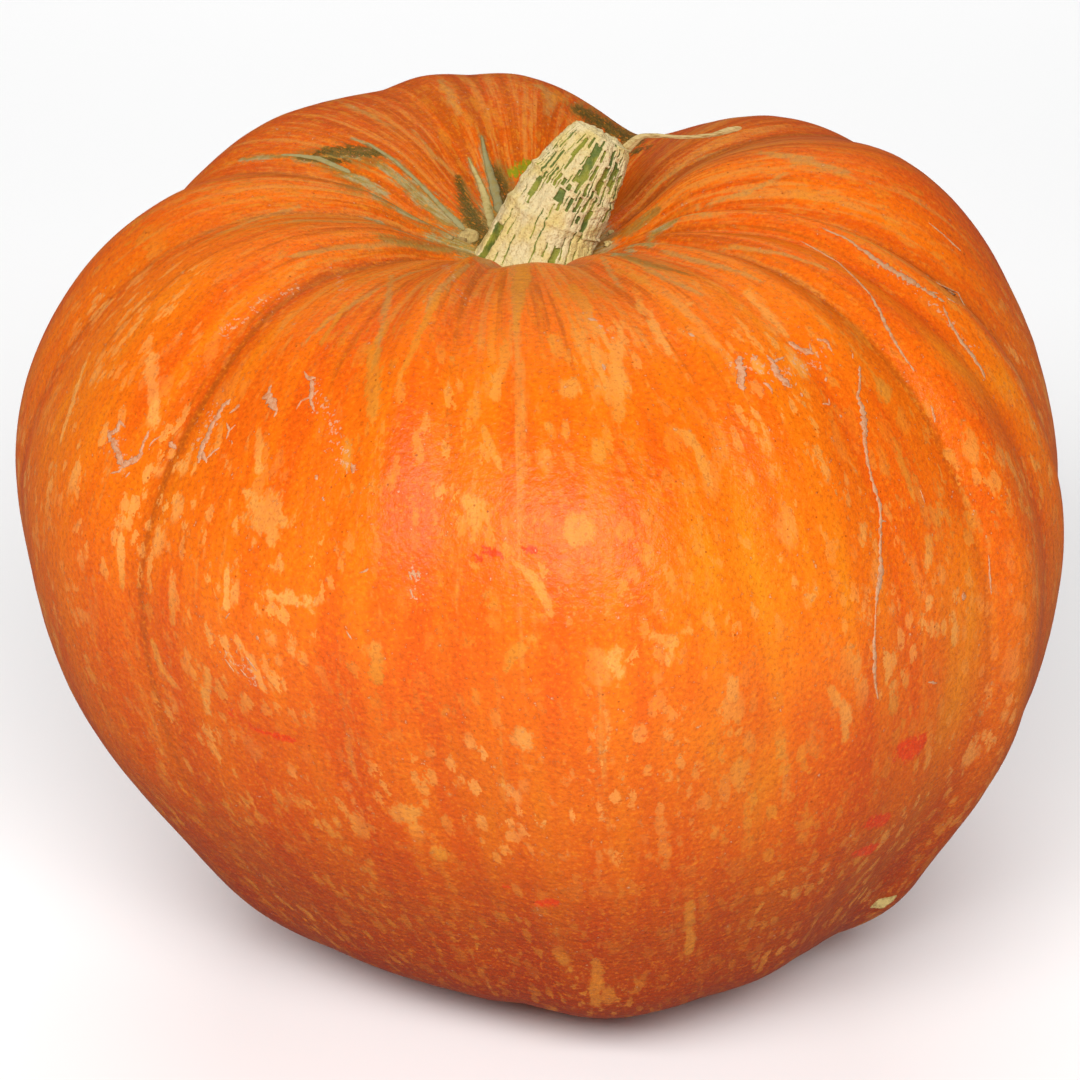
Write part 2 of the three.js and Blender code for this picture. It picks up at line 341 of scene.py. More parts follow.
def rind(azimuth, position):
    """The dented rind and its outward direction: the plain rind, moved in along its normal by noise."""
    point = plain_rind(azimuth, position)
    along = plain_rind(azimuth, position + RUN_STEP) - plain_rind(azimuth, position - RUN_STEP)
    across = plain_rind(azimuth + TURN_STEP, position) - plain_rind(azimuth - TURN_STEP, position)
    normal = unit(np.cross(along, across))
    dent = BROAD_DENT * (1 + layered(point, BROAD_SIZE, DENT_SEED, 2)) / 2
    dent = dent + FINE_DENT * (1 + clouds(point, FINE_SIZE, FINE_SEED)) / 2 + INSET
    dent = dent * ease(point[..., 2] / DENTS_FADE_BELOW)
    return point - normal * dent[..., None], normal


# %% [markdown]
# The skin is one grid: each row goes round the fruit at one place of the half section, and each column
# runs down it, as the ribs do. Columns stand closer together in front, where the camera sees the marks.

# %% The fruit's grid
FRONT_COLUMNS, BACK_COLUMNS = 390, 200
FRONT_HALF_DEGREES = 100
ROWS = [6, 9, 10, 14, 15, 15, 20, 21, 21, 17, 10, 6]
POLE_GAP = 0.02

front_azimuths = np.linspace(-FRONT_HALF_DEGREES, FRONT_HALF_DEGREES, FRONT_COLUMNS, endpoint=False)
back_azimuths = np.linspace(FRONT_HALF_DEGREES, 360 - FRONT_HALF_DEGREES, BACK_COLUMNS, endpoint=False)
column_azimuths = np.concatenate([front_azimuths, back_azimuths])
row_positions = np.concatenate([k + (np.arange(n) + 0.5) / n for k, n in enumerate(ROWS)])
grid_azimuth, grid_position = np.meshgrid(column_azimuths, row_positions)
rind_points, rind_normals = rind(grid_azimuth, grid_position)
pole_top = rind(0, POLE_GAP)[0]
pole_foot = plain_rind(0, LAST)
print("rind grid:", rind_points.shape[:2], " highest %.1f mm" % rind_points[..., 2].max())

# %% [markdown]
# Marks were measured in the picture. To set one on the rind, the nearest grid corner that faces the
# camera is found first, and then a few Newton steps slide it until it falls on the very pixel.
# So each mark lies on the skin and keeps its place from every side.

# %% From a pixel to the rind
SEARCH_STEP = 2
NEAR_PIXELS = 9
HIDDEN_DEPTH = 14.0
NEWTON_ROUNDS = 5
CHUNK = 200
FACING = -0.02
TURN_NUDGE, RUN_NUDGE = 0.05, 0.005
MOST_TURN, MOST_RUN = 3, 0.2
LEAST_AREA = 1e-3
POLE_MARGIN = 0.3

every = (slice(None, None, SEARCH_STEP), slice(None, None, SEARCH_STEP))
facing = rind_normals[every] @ LOOK < FACING
search_points, search_azimuth, search_position = (
    values[every][facing] for values in (rind_points, grid_azimuth, grid_position)
)
search_pixels = to_pixel(search_points)
search_depth = search_points @ LOOK


def area_of(first, second):
    """Signed area between two rows of flat vectors: first x times second y, less first y times second x."""
    return first[:, 0] * second[:, 1] - first[:, 1] * second[:, 0]


def find_on_rind(pixels):
    """Azimuth and position seen at each pixel: nearest grid corner, then Newton steps on the rind."""
    azimuth, position = np.zeros(len(pixels)), np.zeros(len(pixels))
    for start in range(0, len(pixels), CHUNK):
        part = slice(start, start + CHUNK)
        apart = np.linalg.norm(pixels[part, None] - search_pixels[None], axis=-1)
        depth = np.where(apart < NEAR_PIXELS, search_depth[None], np.inf).min(1)
        hidden = (search_depth[None] > depth[:, None] + HIDDEN_DEPTH) & np.isfinite(depth[:, None])
        best = np.where(hidden, apart + PICTURE_SIDE, apart).argmin(1)
        azimuth[part], position[part] = search_azimuth[best], search_position[best]
    for _ in range(NEWTON_ROUNDS):
        here = to_pixel(plain_rind(azimuth, position))
        turn = (to_pixel(plain_rind(azimuth + TURN_NUDGE, position)) - here) / TURN_NUDGE
        move = (to_pixel(plain_rind(azimuth, position + RUN_NUDGE)) - here) / RUN_NUDGE
        miss = pixels - here
        area = area_of(turn, move)
        area = np.where(np.abs(area) < LEAST_AREA, np.inf, area)
        azimuth = azimuth + np.clip(area_of(miss, move) / area, -MOST_TURN, MOST_TURN)
        step = np.clip(area_of(turn, miss) / area, -MOST_RUN, MOST_RUN)
        position = np.clip(position + step, POLE_MARGIN, LAST - POLE_MARGIN)
    return azimuth, position


def lay_strokes(strokes, spacing):
    """Each stroke of (x, y, width) pixels, sampled evenly and laid on the rind: points, normals, widths."""
    sampled = []
    for stroke in strokes:
        corners = np.array(stroke, float)
        run = np.concatenate([[0], np.cumsum(np.hypot(*np.diff(corners[:, :2], axis=0).T))])
        count = max(3, int(run[-1] / spacing) + 2)
        places = np.linspace(0, run[-1], count)
        sampled.append(np.stack([np.interp(places, run, corners[:, k]) for k in range(3)], -1))
    joined = np.concatenate(sampled)
    azimuth, position = find_on_rind(joined[:, :2])
    points, normals = rind(azimuth, position)
    widths = joined[:, 2] * (CAMERA_DISTANCE + (points - CAMERA_TARGET) @ LOOK) / FOCAL_PIXELS
    cuts = np.cumsum([len(s) for s in sampled])[:-1]
    return list(zip(np.split(points, cuts), np.split(normals, cuts), np.split(widths, cuts)))


print("corners that face the camera:", len(search_points))

# %% [markdown]
# Flecks and stains have soft, ragged edges, so they aren't pieces of their own. Each one raises a level
# on the grid's corners, highest along its middle and about half way up at its edge. The material then
# roughens that level and cuts it, which gives the ragged edge.


# %% Levels on the grid
LEVEL_SPACING = 6


def level_of(strokes, reach=2.0):
    """1 on a stroke's line, falling evenly to 0 at reach half-widths from it, highest stroke counting."""
    points = rind_points.reshape(-1, 3)
    level = np.zeros(len(points))
    for line, _, widths in lay_strokes(strokes, LEVEL_SPACING):
        lowest, highest = line.min(0) - 2 * widths.max(), line.max(0) + 2 * widths.max()
        near = np.flatnonzero(np.all((points > lowest) & (points < highest), axis=1))
        if len(near) == 0:
            continue
        for start, stop, width in zip(line[:-1], line[1:], (widths[:-1] + widths[1:]) / 2):
            run = stop - start
            share = np.clip((points[near] - start) @ run / max(run @ run, 1e-9), 0, 1)
            apart = np.linalg.norm(points[near] - start - share[:, None] * run, axis=1)
            level[near] = np.maximum(level[near], 1 - apart / (width / 2) / reach)
    return level.reshape(rind_points.shape[:2])


def upright_fleck(x, y, wide, tall):
    """A stroke straight down a pixel column, as long as the fleck is tall."""
    half = max(tall - wide, 1) / 2
    return [(x, y - half, wide), (x, y + half, wide)]


# %% [markdown]
# The straw-coloured flecks look like places where the young rind stretched and healed over. The big ones
# follow the picture. The small ones between them are left to the material.

# %% Flecks
FLECK_BLOTS = [
    (264, 512, 40, 46), (474, 515, 24, 40), (578, 530, 30, 36), (490, 599, 22, 16), (375, 665, 14, 46),
    (290, 650, 15, 18), (615, 665, 16, 34), (520, 740, 26, 22), (405, 815, 30, 18), (600, 450, 15, 26),
    (570, 386, 17, 28), (640, 305, 8, 20), (552, 342, 8, 24), (548, 452, 10, 14), (548, 425, 8, 14),
    (565, 430, 8, 24), (521, 408, 6, 14), (690, 302, 8, 10), (800, 365, 24, 20), (760, 365, 16, 15),
    (885, 390, 20, 26), (372, 378, 18, 80), (258, 450, 10, 48), (152, 405, 13, 46), (150, 365, 17, 38),
    (350, 490, 10, 12), (345, 455, 10, 38), (865, 535, 11, 25), (930, 555, 14, 38), (940, 515, 10, 28),
    (975, 450, 13, 20), (957, 635, 10, 28), (930, 605, 9, 20), (505, 548, 9, 12), (440, 856, 20, 18),
    (812, 596, 18, 22), (735, 690, 14, 30), (780, 750, 12, 28), (690, 930, 12, 60), (596, 985, 13, 56),
    (170, 600, 10, 60), (205, 690, 12, 50), (120, 560, 9, 60), (225, 590, 9, 40),
]
FLECK_STROKES = [
    [(243, 492, 8), (262, 510, 16), (282, 520, 10)], [(268, 500, 14), (270, 530, 14), (268, 546, 5)],
    [(462, 496, 6), (476, 514, 14), (486, 520, 8)], [(616, 347, 16), (617, 385, 24), (622, 420, 9)],
    [(593, 343, 7), (601, 370, 10)], [(622, 320, 5), (620, 352, 12)],
    [(266, 594, 8), (286, 599, 13), (318, 603, 9)],
    [(515, 563, 6), (532, 578, 11), (545, 600, 12), (550, 616, 6)], [(470, 565, 5), (483, 573, 5)],
    [(503, 674, 8), (515, 652, 14), (534, 638, 7)], [(652, 634, 7), (672, 642, 12), (692, 630, 6)],
    [(672, 640, 10), (668, 662, 6)], [(506, 340, 10), (500, 368, 17), (494, 395, 9)],
    [(522, 262, 17), (520, 292, 15), (514, 328, 6)],
    [(572, 283, 9), (580, 296, 13), (590, 318, 12), (601, 330, 8), (612, 352, 6)],
    [(680, 430, 8), (695, 441, 13), (706, 465, 13), (712, 482, 6)],
    [(649, 308, 7), (656, 328, 13), (669, 352, 9)], [(483, 424, 6), (491, 448, 9), (499, 467, 5)],
    [(745, 288, 8), (766, 310, 12), (790, 336, 6)], [(896, 438, 7), (906, 468, 11), (916, 502, 6)],
    [(440, 290, 6), (420, 330, 9), (398, 378, 5)], [(345, 300, 5), (322, 340, 8)],
    [(88, 350, 6), (70, 400, 10), (58, 440, 6)], [(832, 690, 9), (850, 715, 14), (846, 740, 6)],
    [(236, 640, 8), (250, 660, 12), (262, 690, 7)], [(150, 640, 8), (160, 672, 10), (178, 690, 5)],
]
levels = {"fleck": level_of([upright_fleck(*blot) for blot in FLECK_BLOTS] + FLECK_STROKES)}
print("corners under a fleck:", int((levels["fleck"] > 0.5).sum()))

# %% [markdown]
# Round the stem the rind stays partly green and heals to olive and tan. Bands of it run up out of the
# hollow along the grooves. Dark green patches lie on the left shoulder, behind the stem and beside it.
# Deep in the hollow left of the stem, that green is partly painted shade, and a small patch under the
# strand's root is a painted shadow.

# %% Stains round the hollow
TAN_BANDS = [
    [(629, 257, 5), (655, 271, 8), (675, 281, 9), (700, 292, 5)],
    [(663, 249, 6), (698, 259, 10), (728, 267, 9), (760, 279, 5)],
    [(601, 256, 5), (609, 269, 7), (618, 284, 4)],
    [(690, 246, 5), (740, 246, 7), (790, 254, 6), (830, 268, 4)],
    [(608, 251, 4), (640, 223, 6), (655, 205, 4)], [(648, 190, 5), (686, 161, 7), (725, 148, 6)],
    [(655, 225, 5), (700, 205, 7), (745, 192, 6), (790, 170, 5)],
    [(760, 150, 8), (800, 158, 16), (850, 172, 8)],
    [(455, 250, 7), (400, 243, 9), (340, 246, 8), (280, 256, 5)],
    [(450, 240, 5), (380, 222, 8), (300, 218, 9), (240, 226, 5)],
    [(455, 262, 5), (410, 270, 8), (370, 290, 8), (330, 315, 6), (300, 345, 4)],
    [(470, 262, 6), (440, 285, 9), (425, 310, 5)], [(452, 284, 5), (436, 292, 8), (420, 300, 4)],
    [(392, 272, 6), (384, 310, 11), (372, 366, 7)], [(300, 205, 5), (260, 215, 9), (215, 232, 5)],
    [(478, 258, 10), (496, 262, 16), (516, 262, 9)], [(520, 258, 20), (520, 290, 15), (514, 322, 7)],
    [(330, 95, 5), (368, 112, 9), (392, 124, 5)], [(440, 78, 8), (452, 96, 13), (458, 112, 6)],
    [(538, 84, 12), (552, 92, 15), (548, 112, 7)], [(413, 127, 4), (434, 152, 7), (457, 175, 6)],
    [(503, 171, 8), (508, 190, 14), (512, 208, 12)], [(466, 250, 10), (480, 254, 12), (494, 256, 8)],
]
GREEN_BANDS = [
    [(330, 166, 5), (365, 180, 9), (399, 200, 11), (434, 223, 12), (458, 240, 12)],
    [(376, 160, 5), (400, 178, 10), (422, 198, 13), (446, 222, 12)],
    [(352, 137, 3), (367, 141, 5), (395, 159, 7), (418, 180, 7), (441, 205, 8), (464, 228, 9)],
    [(365, 217, 5), (411, 230, 8), (457, 243, 12), (484, 250, 14)],
    [(300, 160, 6), (320, 157, 12), (345, 153, 14), (372, 150, 12)],
    [(240, 158, 6), (275, 154, 8), (300, 156, 8)],
    [(613, 253, 8), (640, 240, 10), (664, 226, 8), (680, 216, 4)],
    [(482, 130, 5), (488, 160, 10), (495, 186, 14), (500, 212, 14)],
    [(468, 157, 5), (482, 186, 9), (492, 214, 13), (496, 230, 12)],
    [(462, 184, 6), (474, 210, 12), (482, 240, 16)],
]
# Second patch: a painted shadow under the strand's root. Fifth: in the hollow, green and painted shade.
DARK_PATCHES_AND_SHADE = [
    [(580, 110, 14), (598, 120, 30), (616, 130, 34), (632, 140, 26)], [(634, 150, 12), (643, 147, 14)],
    [(316, 152, 8), (332, 149, 14), (350, 149, 17), (368, 151, 15), (378, 152, 8)],
    [(300, 156, 5), (325, 158, 9), (345, 160, 9)],
    [(459, 176, 6), (466, 198, 14), (474, 220, 22), (484, 240, 28)],
    [(497, 168, 8), (503, 188, 14), (505, 205, 12)],
]
# The fifth band, in the hollow left of the stem, is partly olive and partly painted shade.
OLIVE_WASH_AND_SHADE = [
    [(300, 152, 14), (340, 154, 24), (378, 160, 18)],
    [(320, 160, 12), (352, 175, 20), (385, 195, 28), (415, 214, 34), (445, 230, 36)],
    [(400, 178, 12), (428, 200, 24), (452, 222, 30)], [(380, 236, 10), (420, 244, 16), (460, 250, 22)],
    [(462, 180, 12), (472, 210, 28), (486, 240, 40)], [(500, 165, 14), (508, 190, 22), (510, 215, 22)],
    [(574, 108, 18), (602, 118, 40), (632, 136, 40)], [(608, 236, 12), (630, 226, 16), (655, 210, 10)],
    [(612, 250, 10), (650, 262, 12), (690, 272, 8)],
]
BRIGHT_GREEN = [[(514, 172, 12), (524, 166, 16), (534, 163, 11)]]
STAINS = {
    "tan": TAN_BANDS, "green": GREEN_BANDS, "dark_and_shade": DARK_PATCHES_AND_SHADE, "wash_and_shade": OLIVE_WASH_AND_SHADE, "bright": BRIGHT_GREEN
}
levels.update({name: level_of(strokes) for name, strokes in STAINS.items()})
print("corners under a stain:", int((np.maximum(levels["tan"], levels["green"]) > 0.5).sum()))

# %% [markdown]
# A few places are another orange: three red spots low on the right, reddened grazes in the middle, below
# it and low on the left, and yellower fields on the right. Dry scurf lies in fine pale specks round the
# scars.

# %% Red spots, yellow fields and scurf
RED_SPOTS = [
    [(903, 750, 22), (919, 746, 25)], [(870, 824, 16), (888, 821, 17)], [(856, 856, 12), (876, 850, 15)],
    [(472, 560, 6), (486, 552, 7), (500, 551, 5)], [(520, 550, 4), (536, 552, 4)],
    [(538, 905, 10), (552, 905, 12)], [(500, 890, 6), (508, 888, 6)],
    [(228, 716, 5), (262, 732, 8), (292, 742, 5)],
]
YELLOW_FIELD = [
    [(968, 560, 50), (975, 630, 60), (955, 710, 50)], [(740, 560, 90), (780, 610, 120), (800, 660, 80)],
    [(700, 740, 60), (760, 790, 80)], [(945, 350, 30), (975, 375, 34), (1000, 385, 24)],
]
SCURF = [
    [(224, 330, 14), (262, 300, 14), (300, 286, 10)], [(330, 262, 8), (345, 290, 12)],
    [(445, 262, 8), (470, 300, 10)], [(590, 312, 8), (612, 334, 10)],
    [(738, 362, 24), (790, 372, 30), (826, 350, 16)], [(198, 440, 18), (214, 405, 16)],
    [(112, 436, 22), (122, 462, 18)], [(228, 656, 26), (252, 678, 24)], [(312, 386, 18), (345, 466, 18)],
    [(412, 574, 16), (416, 600, 10)], [(880, 262, 12), (925, 290, 12), (975, 350, 12)],
]
SOFT_REACH = 2.6
levels["red"] = level_of(RED_SPOTS)
levels["scurf"] = level_of(SCURF)
levels["yellow"] = level_of(YELLOW_FIELD, SOFT_REACH)
print("corners under a red spot:", int((levels["red"] > 0.5).sum()))

# %% [markdown]
# Meshes come from plain arrays. Each piece is a stack of rings that closes at both ends in a point, so
# nothing is open, and one helper joins many small closed pieces into one object.


# %% Closed skins
def closed_skin(rings, first, last):
    """Points, quads and triangles of a stack of rings. Seen from first, rings run anticlockwise."""
    rows, columns = rings.shape[:2]
    points = np.vstack([np.reshape(first, (1, 3)), rings.reshape(-1, 3), np.reshape(last, (1, 3))])
    ring = np.arange(rows * columns).reshape(rows, columns) + 1
    beside = np.roll(ring, -1, axis=1)
    quads = np.stack([ring[:-1], ring[1:], beside[1:], beside[:-1]], -1).reshape(-1, 4)
    head = np.stack([np.zeros(columns, int), ring[0], beside[0]], -1)
    tail = np.stack([ring[-1], np.full(columns, len(points) - 1), beside[-1]], -1)
    return points, quads, np.vstack([head, tail])


def gather(skins):
    """Many closed skins as one: their points end to end, and face numbers counted on."""
    starts = np.cumsum([0] + [len(points) for points, _, _ in skins[:-1]])
    points = np.vstack([points for points, _, _ in skins])
    quads = np.vstack([quads + start for (_, quads, _), start in zip(skins, starts)])
    triangles = np.vstack([triangles + start for (_, _, triangles), start in zip(skins, starts)])
    return points, quads, triangles


def make_piece(name, skin, attributes):
    """An object at the origin with that skin, smooth, riding on the one body, with named attributes."""
    points, quads, triangles = skin
    mesh = bpy.data.meshes.new(name)
    mesh.from_pydata((points * MM).tolist(), [], quads.tolist() + triangles.tolist())
    mesh.polygons.foreach_set("use_smooth", np.ones(len(mesh.polygons), bool))
    for label, values in attributes.items():
        kind, key = ("FLOAT_VECTOR", "vector") if values.ndim == 2 else ("FLOAT", "value")
        carried = mesh.attributes.new(label, kind, "POINT")
        carried.data.foreach_set(key, np.ascontiguousarray(values, np.float32).ravel())
    mesh.update()
    made = bpy.data.objects.new(name, mesh)
    bpy.context.scene.collection.objects.link(made)
    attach(made, "root")
    cut = np.vstack([quads[:, [0, 1, 2]], quads[:, [0, 2, 3]], triangles])
    a, b, c = (points[cut[:, k]] for k in range(3))
    litres = float(np.sum(a * np.cross(b, c)) / 6e6)
    print("%s: %d triangles round %.4f litres" % (name, len(cut), litres))
    return made


def with_ends(grid_values):
    """Values of a grid's corners as one list, with the first and last row's mean for the two end points."""
    flat = grid_values.reshape(-1, *grid_values.shape[2:])
    return np.concatenate([grid_values[0].mean(0)[None], flat, grid_values[-1].mean(0)[None]])


# %% [markdown]
# The fruit's skin carries the levels, and one more thing: a growth direction. Its first two numbers turn
# with the columns and its third is the way run down the half section, so a pattern that reads it can be
# drawn out along the ribs, as everything that grows on a pumpkin is.

# %% The fruit
GROWTH_RADIUS = 190.0
CREASE_WIDTH = 2.0
VALLEY_WIDTH = 7.0
SHALLOWEST = 2.6
RIM_CREASE = 0.75
CREASE_FADE = [0, 0.6, 1, 1, 1, 1, 0.9, 0.7, 0.55, 0.45, 0.4, 0.3, 0]
HOLLOW_FALL = (0.9, 1.0)
SHOULDER_RISE, SHOULDER_FALL = (1.0, 1.2), (3.2, 3.0)

fine_positions = np.linspace(0, LAST, 100 * LAST + 1)
profile_run = np.concatenate([[0], np.cumsum(np.hypot(*np.diff(section(fine_positions), axis=0).T))])
run_down = np.interp(grid_position, fine_positions, profile_run)
grid_angle = np.radians(grid_azimuth)
growth = np.stack([GROWTH_RADIUS * np.cos(grid_angle), GROWTH_RADIUS * np.sin(grid_angle), run_down], -1)
lobe_number, lobe_share = lobe_at(grid_azimuth)
near_side = np.where(lobe_share < 0.5, lobe_number, (lobe_number + 1) % len(GROOVES))
around = 2 * np.pi * np.hypot(*np.moveaxis(rind_points[..., :2] - CAD_SHIFT[:2], -1, 0)) / 360
groove_away = np.minimum(lobe_share, 1 - lobe_share) * LOBE_WIDTHS[lobe_number] * around
# Painted shade: grooves get a narrow brown line, partly their own colour, and a wider painted darkening.
crease_shade = np.clip((DEPTHS[near_side] - SHALLOWEST) / SHALLOWEST, 0, 1)
at_rim = RIM_CREASE * np.exp(-((grid_position - FRONT_RIM["at"]) ** 2))
for name, width in (("groove", CREASE_WIDTH), ("valley_shade", VALLEY_WIDTH)):
    level = np.exp(-((groove_away / width) ** 2)) * np.maximum(crease_shade, at_rim)
    levels[name] = level * np.interp(grid_position, range(LAST + 1), CREASE_FADE)
hollow, rise, fall = (
    ease((grid_position - start) / over) for start, over in (HOLLOW_FALL, SHOULDER_RISE, SHOULDER_FALL)
)
levels["hollow"] = 1 - hollow
levels["shoulder"] = rise * (1 - fall)

carried = {name: with_ends(level) for name, level in levels.items()}
carried["growth"] = with_ends(growth) * MM
fruit = make_piece("fruit_rind", closed_skin(rind_points, pole_top, pole_foot), carried)
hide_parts("fruit")

# %% [markdown]
# Scars are healed scratches: thin ridges of pinkish-grey cork with torn edges. Drawn as a bump they would
# vanish from the side, so each one is a flat closed ribbon that follows the rind and stands a little proud.

# %% Ribbons on the rind
RIBBON_SIDES = 8
EDGE_SIZE = 0.9
RIBBON_SPREAD = 1.3
TAPER_RINGS, TAPER_START = 3.0, 0.6
EDGES_APART = 40
RISE_VARIES = 0.35
TIP_GAP = 0.2
RIBBON_SPACING = 1.4
EDGE_SEED = 71


def round_turn(count):
    """Angles of that many points round a ring."""
    return np.arange(count) / count * 2 * np.pi


def ribbon(line, normals, widths, height, ragged, seed):
    """A flat tube: across the line by half the width, which noise tears, and along the normal by height."""
    along = unit(np.gradient(line, axis=0))
    side = unit(np.cross(along, normals))
    count = len(line)
    from_end = np.minimum(np.arange(count), np.arange(count)[::-1]) + TAPER_START
    taper = np.sqrt(np.clip(from_end / TAPER_RINGS, 0, 1))
    across, over = np.cos(round_turn(RIBBON_SIDES)), np.sin(round_turn(RIBBON_SIDES))
    edges = line[:, None] + EDGES_APART * np.sign(across)[None, :, None]
    torn = 1 + ragged * clouds(edges, EDGE_SIZE, seed)
    half = (widths / 2 * RIBBON_SPREAD * taper)[:, None] * torn
    rise = height * taper * (1 + RISE_VARIES * clouds(line, EDGE_SIZE, seed + 1))
    rings = line[:, None] + side[:, None] * (across * half)[..., None]
    rings = rings + normals[:, None] * (over * rise[:, None])[..., None]
    # Seen from the line's start, the rings have to run anticlockwise.
    return closed_skin(rings, line[0] - along[0] * TIP_GAP, line[-1] + along[-1] * TIP_GAP)


def make_ribbons(name, groups, ragged):
    """One piece of ribbons from groups of strokes, each group with its height and its tone."""
    skins = []
    tones = []
    for strokes, height, tone in groups:
        for k, laid in enumerate(lay_strokes(strokes, RIBBON_SPACING)):
            skins.append(ribbon(*laid, height, ragged, EDGE_SEED + 2 * k))
            tones.append(np.full(len(skins[-1][0]), tone))
    return make_piece(name, gather(skins), {"tone": np.concatenate(tones)})


# %% [markdown]
# The scars on both shoulders and in the middle, the long scratch and the thin lines on the right, read
# off the picture as strokes of (x, y, width).

# %% Scars
LEFT_SCARS = [
    [(118, 420, 4), (116, 430, 4), (106, 434, 3.5)], [(118, 420, 2), (124, 427, 1.5)],
    [(106, 434, 4), (113, 443, 6), (117, 456, 5), (121, 466, 6)],
    [(121, 466, 5), (128, 461, 5), (137, 458, 4), (141, 446, 3), (148, 430, 2)],
    [(121, 466, 2.5), (118, 471, 2), (109, 473, 1.2)],
    [(148, 446, 1.5), (152, 440, 1.5), (159, 436, 1.2)], [(128, 472, 2), (124, 477, 1.2)],
    [(168, 442, 3.5), (175, 448, 4)],
    [(229, 398, 4), (222, 405, 6), (213, 420, 6), (206, 436, 5), (200, 448, 6), (197, 462, 4)],
    [(200, 450, 4), (205, 462, 4)], [(205, 458, 2), (211, 452, 2), (218, 447, 1.5)],
    [(228, 412, 1.5), (235, 407, 2), (238, 404, 4)], [(225, 422, 1.5), (228, 430, 2), (225, 438, 1.5)],
    [(228, 430, 1.5), (234, 424, 1.5)], [(230, 440, 1.5), (231, 443, 1.5)],
    [(270, 384, 2), (266, 395, 6), (272, 402, 7), (276, 410, 4)], [(261, 397, 3), (265, 397, 4)],
    [(276, 410, 2), (273, 416, 1.2)], [(303, 370, 1.5), (307, 377, 3), (314, 376, 3)],
    [(310, 378, 3), (311, 390, 4), (309, 398, 4)], [(309, 398, 3), (313, 410, 1.5)],
    [(309, 396, 2), (300, 400, 1.5), (295, 408, 1.2)], [(350, 463, 4), (352, 472, 5)],
    [(314, 475, 3), (316, 479, 3)], [(321, 497, 2.5), (323, 500, 2.5)],
]
RIGHT_SCARS = [
    [(740, 355, 6), (741, 370, 7), (741, 380, 6), (744, 390, 4)],
    [(768, 354, 4), (775, 364, 6), (779, 374, 6), (787, 381, 7), (790, 386, 4)],
    [(775, 360, 3), (785, 356, 2)], [(753, 353, 4), (757, 358, 3)],
    [(790, 340, 5), (795, 345, 6), (803, 349, 5), (815, 352, 4)], [(812, 352, 2), (810, 342, 1.5)],
    [(818, 338, 3), (828, 340, 3), (833, 350, 2)], [(765, 382, 3), (772, 388, 3), (773, 393, 2)],
    [(802, 392, 3), (804, 395, 3)], [(828, 376, 2), (827, 380, 4)],
    [(830, 398, 2), (831, 404, 2), (824, 403, 2)], [(841, 414, 3), (843, 416, 3)],
    [(854, 352, 2), (854, 357, 2)],
]
MIDDLE_SCARS = [
    [(408, 572, 2.5), (411, 580, 2)], [(412, 570, 2.5), (415, 579, 2)], [(417, 571, 2.5), (419, 578, 2)],
    [(408, 574, 2), (420, 574, 2.5)], [(410, 590, 2.5), (412, 598, 2)],
    [(358, 573, 1.5), (363, 572, 2), (367, 569, 1.5)], [(224, 660, 1.5), (233, 672, 1.5)],
    [(245, 657, 1.5), (256, 672, 1.5)], [(240, 670, 1.5), (247, 678, 1.5)],
    [(255, 637, 4), (257, 640, 4)], [(345, 632, 1.5), (350, 640, 1.5)],
    [(224, 619, 1.5), (228, 614, 1.5)], [(588, 317, 3), (596, 319, 3)], [(603, 362, 3), (605, 368, 3)],
    [(688, 332, 3), (694, 335, 4)], [(964, 596, 6), (968, 597, 6)], [(990, 556, 1.5), (993, 595, 1.5)],
    [(930, 683, 2), (939, 684, 2)], [(922, 490, 1.5), (926, 503, 1.5)], [(932, 405, 2), (936, 422, 2)],
]
LONG_SCRATCH = [
    [(861, 365, 2.5), (861, 385, 2.5), (858, 395, 3), (862, 405, 4), (865, 415, 6)],
    [(865, 415, 6), (866, 430, 5), (867, 445, 3.5), (869, 460, 3), (874, 480, 3), (879, 495, 3)],
    [(879, 495, 3), (882, 505, 3.5), (883, 520, 3.5), (883, 540, 3), (883, 555, 3.5)],
    [(883, 555, 3.5), (884, 570, 5.5), (882, 585, 6), (879, 597, 4), (878, 610, 1.8)],
    [(877, 630, 1.6), (876, 645, 3), (877, 660, 4), (877, 675, 3), (878, 690, 2), (880, 700, 1.5)],
    [(878, 610, 1.3), (877, 630, 1.4)], [(883, 521, 2), (888, 521, 1.5)],
]
PALE_LINE = [
    [(800, 240, 1.2), (822, 251, 1.6), (840, 261, 2), (858, 278, 2.2), (872, 293, 2.4)],
    [(872, 293, 2.4), (880, 308, 2.6), (886, 322, 3), (892, 334, 2.4), (898, 345, 2), (915, 370, 1.4)],
]
GREY_LINES = [
    [(820, 226, 1.5), (845, 236, 2), (862, 248, 3), (880, 261, 5), (900, 272, 6), (918, 283, 6)],
    [(918, 283, 6), (934, 293, 4), (946, 300, 2)], [(934, 290, 1.5), (945, 294, 1.5), (957, 301, 1.2)],
    [(945, 305, 2), (952, 322, 2.5), (963, 340, 3.5), (975, 355, 3.5), (984, 370, 3), (987, 378, 2)],
    [(930, 222, 1.2), (945, 234, 1.4), (962, 250, 1.2)],
]
SCAR_HEIGHT, LINE_HEIGHT = 0.32, 0.24
SCAR_RAGGED = 0.85
SCAR_GROUPS = [
    (LEFT_SCARS, SCAR_HEIGHT, 0.0), (RIGHT_SCARS, SCAR_HEIGHT, 0.0), (MIDDLE_SCARS, LINE_HEIGHT, 0.1),
    (LONG_SCRATCH, SCAR_HEIGHT, 0.15), (PALE_LINE, LINE_HEIGHT, 0.3), (GREY_LINES, LINE_HEIGHT, 0.35),
]
scars = make_ribbons("scars", SCAR_GROUPS, SCAR_RAGGED)

# %% [markdown]
# In the hollow, cord-like sutures run down to the stem where the lobes meet. They are thicker ribbons,
# grey-green or cream, that mostly grow wider towards the stem.

